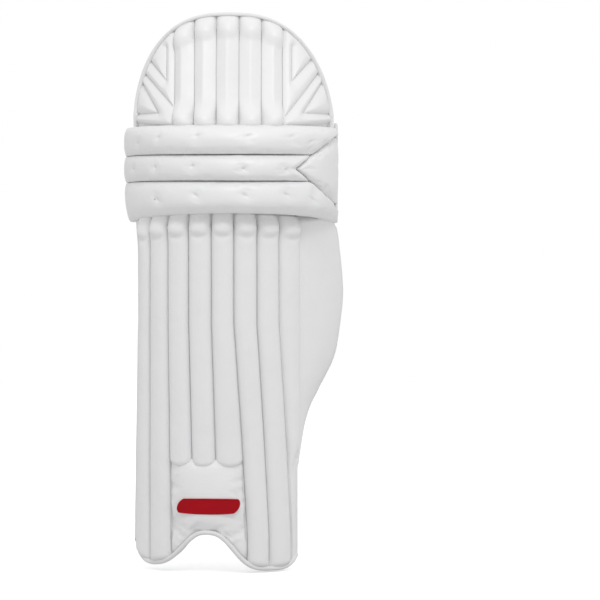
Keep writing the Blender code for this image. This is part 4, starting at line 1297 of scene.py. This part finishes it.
def band(name, node, oval, z_range, turns, thickness, finish, body, taper=0.0, puff=0.0, ribs=0, tape=0.0,
         rounded=0.10, fill=None, columns=96, up=22):
    """A band round the back of the leg: outer face, inner face, tape round its edge, and stitching."""
    middle = 0.5 * (z_range[0] + z_range[1])
    half = 0.5 * (z_range[1] - z_range[0])

    def height(u, v):
        narrow = 1.0 - taper * u**3
        if u > 1.0 - rounded:
            narrow *= mix(0.62, 1.0, round_end(1.0 - u, rounded))
        return middle + half * narrow * (2.0 * v - 1.0)

    def face(u, v, side):
        turn = mix(math.radians(turns[0]), math.radians(turns[1]), u)
        z = height(u, v)
        edge = min(min(v, 1.0 - v) * 2.0 * half, (1.0 - u) * 0.2)
        swell = puff * round_end(edge, 0.010)
        if ribs:
            swell -= 0.45 * puff * bell(((u * ribs) % 1.0) - 0.5, 0.07)
        place = band_place(oval, turn, z)
        ripple = uneven(place, 26.0) * (0.6 if side else -0.6)
        level = thickness + swell + ripple if side else -0.25 * swell + ripple
        return band_place(oval, turn, z, level)
    body_piece(name, lambda u, v: face(u, v, True), lambda u, v: face(u, v, False),
               (steps(columns), steps(up, 0.25)), finish, body, node)
    border = [(u, 0.0) for u in steps(columns)] + [(1.0, v) for v in steps(up)[1:-1]]
    border += [(u, 1.0) for u in reversed(steps(columns))]
    if tape:
        path, outward = band_run(oval, turns, [(u, height(u, v), 0.5 * thickness) for u, v in border])
        sweep(name + "_tape", path, outward, tape, 0.5 * thickness + 0.0007, "binding", body, sides=10)
    inward = tape * 1.5 + 0.0012
    sewn = []
    for u, v in border:
        low, high = min(height(u, 0.0) + inward, middle), max(height(u, 1.0) - inward, middle)
        sewn.append((min(u, 1.0 - inward / 0.2), clamp(height(u, v), low, high), thickness + 0.0004))
    stitching(name + "_stitches", [band_run(oval, turns, sewn)], body, pitch=0.0034)


def sewn_box(name, oval, z_range, turns, level, body):
    """A boxed cross of stitches that fixes a strap's end."""
    corners = ((0, 0), (1, 0), (1, 1), (0, 1), (0, 0), (1, 1))
    spots = [(u, mix(*z_range, v), level) for u, v in along_corners(corners, 10)]
    stitching(name, [band_run(oval, turns, spots)], body)


def straps():
    knee_oval = (0.003, 0.0225, 0.1190, 0.0110)
    pad_oval = (0.003, 0.0, 0.0990, 0.0420)
    strap_oval, keeper_oval = [
        (*pad_oval[:2], *(half + gap for half in pad_oval[2:]))
        for gap in (PAD_CLOTH_THICKNESS + 0.0008, PAD_CLOTH_THICKNESS + STRAP_THICKNESS + 0.0016)]
    strap, cloth = (STRAP_THICKNESS, "felt"), (PAD_CLOTH_THICKNESS, "mesh")
    cushion = dict(tape=0.0024, fill=0.5, columns=120)
    band("knee_strap_web", "knee_strap", knee_oval, KNEE_STRAP_Z, (164, 10), *strap, "knee_strap",
         tape=0.0019)
    sewn_box("knee_strap_box", knee_oval, (-0.0545, -0.0320), (150, 138), STRAP_THICKNESS + 0.0005,
             "knee_strap")
    band("upper_calf_cushion", "upper_calf_pad", (0.003, 0.0, 0.0980, 0.0395), UPPER_CALF_PAD_Z,
         (STRAP_START, 26), *cloth, "upper_calf_pad", taper=0.10, puff=0.0020, ribs=5, up=34, **cushion)
    band("lower_calf_cushion", "lower_calf_pad", pad_oval, LOWER_CALF_PAD_Z, (STRAP_START, 30), *cloth,
         "calf_strap", taper=0.25, puff=0.0006, up=38, **cushion)
    band("calf_strap_web", "calf_strap", strap_oval, CALF_STRAP_Z, (STRAP_START, 24), *strap, "calf_strap",
         taper=0.10, tape=0.0018)
    sewn_box("calf_strap_box", strap_oval, (-0.226, -0.182), (150, 136), STRAP_THICKNESS + 0.0005,
             "calf_strap")
    band("calf_flap_pad", "calf_flap", (0.003, 0.0040, 0.0980, 0.0250), CALF_FLAP_Z, (STRAP_START, 52),
         *cloth, "calf_strap", taper=0.45, puff=0.0012, tape=0.0022, fill=0.5, rounded=0.16)
    band("strap_keeper_tab", "strap_keeper", keeper_oval, (-0.192, -0.170), (83, 73), 0.0016, "binding",
         "calf_strap", puff=0.0006, rounded=0.3, columns=24, up=12)
    band("ankle_strap_web", "ankle_strap", (-0.006, 0.0085, 0.0900, 0.0100), ANKLE_STRAP_Z, (STRAP_START, 24),
         *strap, "ankle_strap", tape=0.0016)
    band("inner_flap_web", "inner_flap", (-0.004, 0.0125, 0.0950, 0.0060), INNER_FLAP_Z, (167, 118), *strap,
         "inner_flap", taper=0.5, tape=0.0018, rounded=0.3)


def ankle_loop():
    """Folded pull loop that stands off the ankle strap, with white taped edges."""
    centre, radius, low, high, thickness = (0.030, 0.0215), 0.017, -0.376, -0.340, 0.0022

    def away(u):
        return Vector((math.cos(math.pi * u), math.sin(math.pi * u), 0.0))

    def at(u, z, outward):
        return Vector((*centre, z)) + (radius + outward) * away(u)
    us = steps(48)
    body_piece("ankle_pull_loop", lambda u, v: at(u, mix(low, high, v), thickness),
               lambda u, v: at(u, mix(low, high, v), 0.0), (us, steps(12)), "felt", "ankle_strap",
               "ankle_loop")
    for name, z in (("ankle_loop_tape_lower", low), ("ankle_loop_tape_upper", high)):
        sweep(name, [at(u, z, 0.5 * thickness) for u in us], [away(u) for u in us], 0.0018, 0.0019,
              "binding", "ankle_strap", sides=10)
    runs = [([at(u, z, thickness + 0.0003) for u in us], [away(u) for u in us])
            for z in (low + 0.0045, high - 0.0045)]
    stitching("ankle_loop_stitches", runs, "ankle_strap")


# ================= nodes that keep their shape =================

def dress_nodes():
    for name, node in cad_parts.items():
        for finish in ("cane", "board"):
            if finish in name:
                node.data.materials.clear()
                node.data.materials.append(finishes[finish])


# ================= stage, light and camera =================

VIEW_TARGET = Vector((0.090, -0.106, -0.165))
VIEW_WIDTH = 0.750
VIEW_ELEVATION = math.radians(5.0)
LENS = 420.0
SENSOR = 36.0
STAGE_REACH = 2.4
STAGE_DROP = 0.0045
STAGE_TONE = 0.70
STAGE_WHITE = 0.50
ROOM_BELOW = 0.58
ROOM_ABOVE = 0.91
KEY_PLACE = (0.35, -1.8, 1.9)
KEY_AIM = (0.0, -0.05, -0.15)
KEY_SIZE = 0.8
KEY_POWER = 18.6


def camera():
    data = bpy.data.cameras.new("camera")
    data.lens = LENS
    data.sensor_width = SENSOR
    data.clip_end = 40.0
    made = placed("camera", data)
    away = VIEW_WIDTH * LENS / SENSOR
    made.location = VIEW_TARGET + away * Vector((0.0, -math.cos(VIEW_ELEVATION), math.sin(VIEW_ELEVATION)))
    made.rotation_euler = (math.radians(90.0) - VIEW_ELEVATION, 0.0, 0.0)
    scene.camera = made


def stage():
    """Pale round floor under the pad."""
    pale = Finish("stage", 0.9, Emission_Color=(STAGE_WHITE, STAGE_WHITE, STAGE_WHITE, 1.0))
    pale.drive("Base Color", pale.noise(2.0), (0.3, STAGE_TONE - 0.01), (0.7, STAGE_TONE))
    seen = wired(pale.tree, "ShaderNodeLightPath").outputs["Is Camera Ray"]
    pale.tree.links.new(seen, pale.shader.inputs["Emission Strength"])
    shape = bmesh.new()
    bmesh.ops.create_circle(shape, cap_ends=True, segments=96, radius=STAGE_REACH)
    bmesh.ops.translate(shape, verts=shape.verts, vec=(0.0, 0.0, FOOT_BOTTOM - STAGE_DROP))
    mesh = bpy.data.meshes.new("floor")
    shape.to_mesh(mesh)
    shape.free()
    mesh.materials.append(pale.made)
    placed("floor", mesh)


def lights():
    """A white room, brighter above, with a soft key from the upper right."""
    world = bpy.data.worlds.new("studio")
    world.use_nodes = True
    tree = world.node_tree
    direction = wired(tree, "ShaderNodeTexCoord").outputs["Generated"]
    height = wired(tree, "ShaderNodeSeparateXYZ", Vector=direction).outputs["Z"]
    level = wired(tree, "ShaderNodeMapRange", Value=height, From_Min=-1.0, From_Max=1.0, To_Min=ROOM_BELOW,
                  To_Max=ROOM_ABOVE).outputs["Result"]
    seen = wired(tree, "ShaderNodeLightPath").outputs["Is Camera Ray"]
    strength = wired(tree, "ShaderNodeMath", {"operation": "MAXIMUM"}, Values=(level, seen))
    room = tree.nodes["Background"]
    tree.links.new(strength.outputs["Value"], room.inputs["Strength"])
    room.inputs["Color"].default_value = (1.0, 1.0, 1.0, 1.0)
    scene.world = world
    scene.view_settings.view_transform = "Standard"
    data = bpy.data.lights.new("key", "AREA")
    data.shape = "DISK"
    data.size = KEY_SIZE
    data.energy = KEY_POWER
    key = placed("key", data)
    key.location = KEY_PLACE
    key.rotation_euler = (Vector(KEY_AIM) - Vector(KEY_PLACE)).to_track_quat("-Z", "Y").to_euler()


# ================= the pad =================

for channel in range(SHIN_CHANNELS):
    shin_channel(channel)
shin_stitching()
instep_panel()
instep_patch()
outer_margin()
shin_side_wall()
shin_liner()
shin_bolster("bolster_cover_inner", math.radians(-30), "shin_bolster_inner")
shin_bolster("bolster_cover_outer", math.radians(24), "shin_bolster_outer")
outer_wing()
wing_hook_patch()
tuft_knots = []
for number, roll in enumerate(("upper_knee_roll", "middle_knee_roll", "lower_knee_roll")):
    tuft_knots += knee_roll(number, roll)
# the tuft knots use the dark knot finish, which is painted shade of the dimples
stitching("knee_tufts", tuft_knots, "pad_body", "knot", radius=0.0006)
knee_wedge()
knee_cup()
knee_binding("knee_binding_inner", -1)
knee_binding("knee_binding_outer", 1)
for channel in range(DOME_CHANNELS):
    dome_channel(channel)
dome_stitching()
dome_side("dome_side_cover_inner", "dome_side_inner", -1, INNER_QUILT)
dome_side("dome_side_cover_outer", "dome_side_outer", 1, OUTER_QUILT)
dome_binding()
dome_liner()
foot_binding()
straps()
ankle_loop()
dress_nodes()
stage()
lights()
camera()
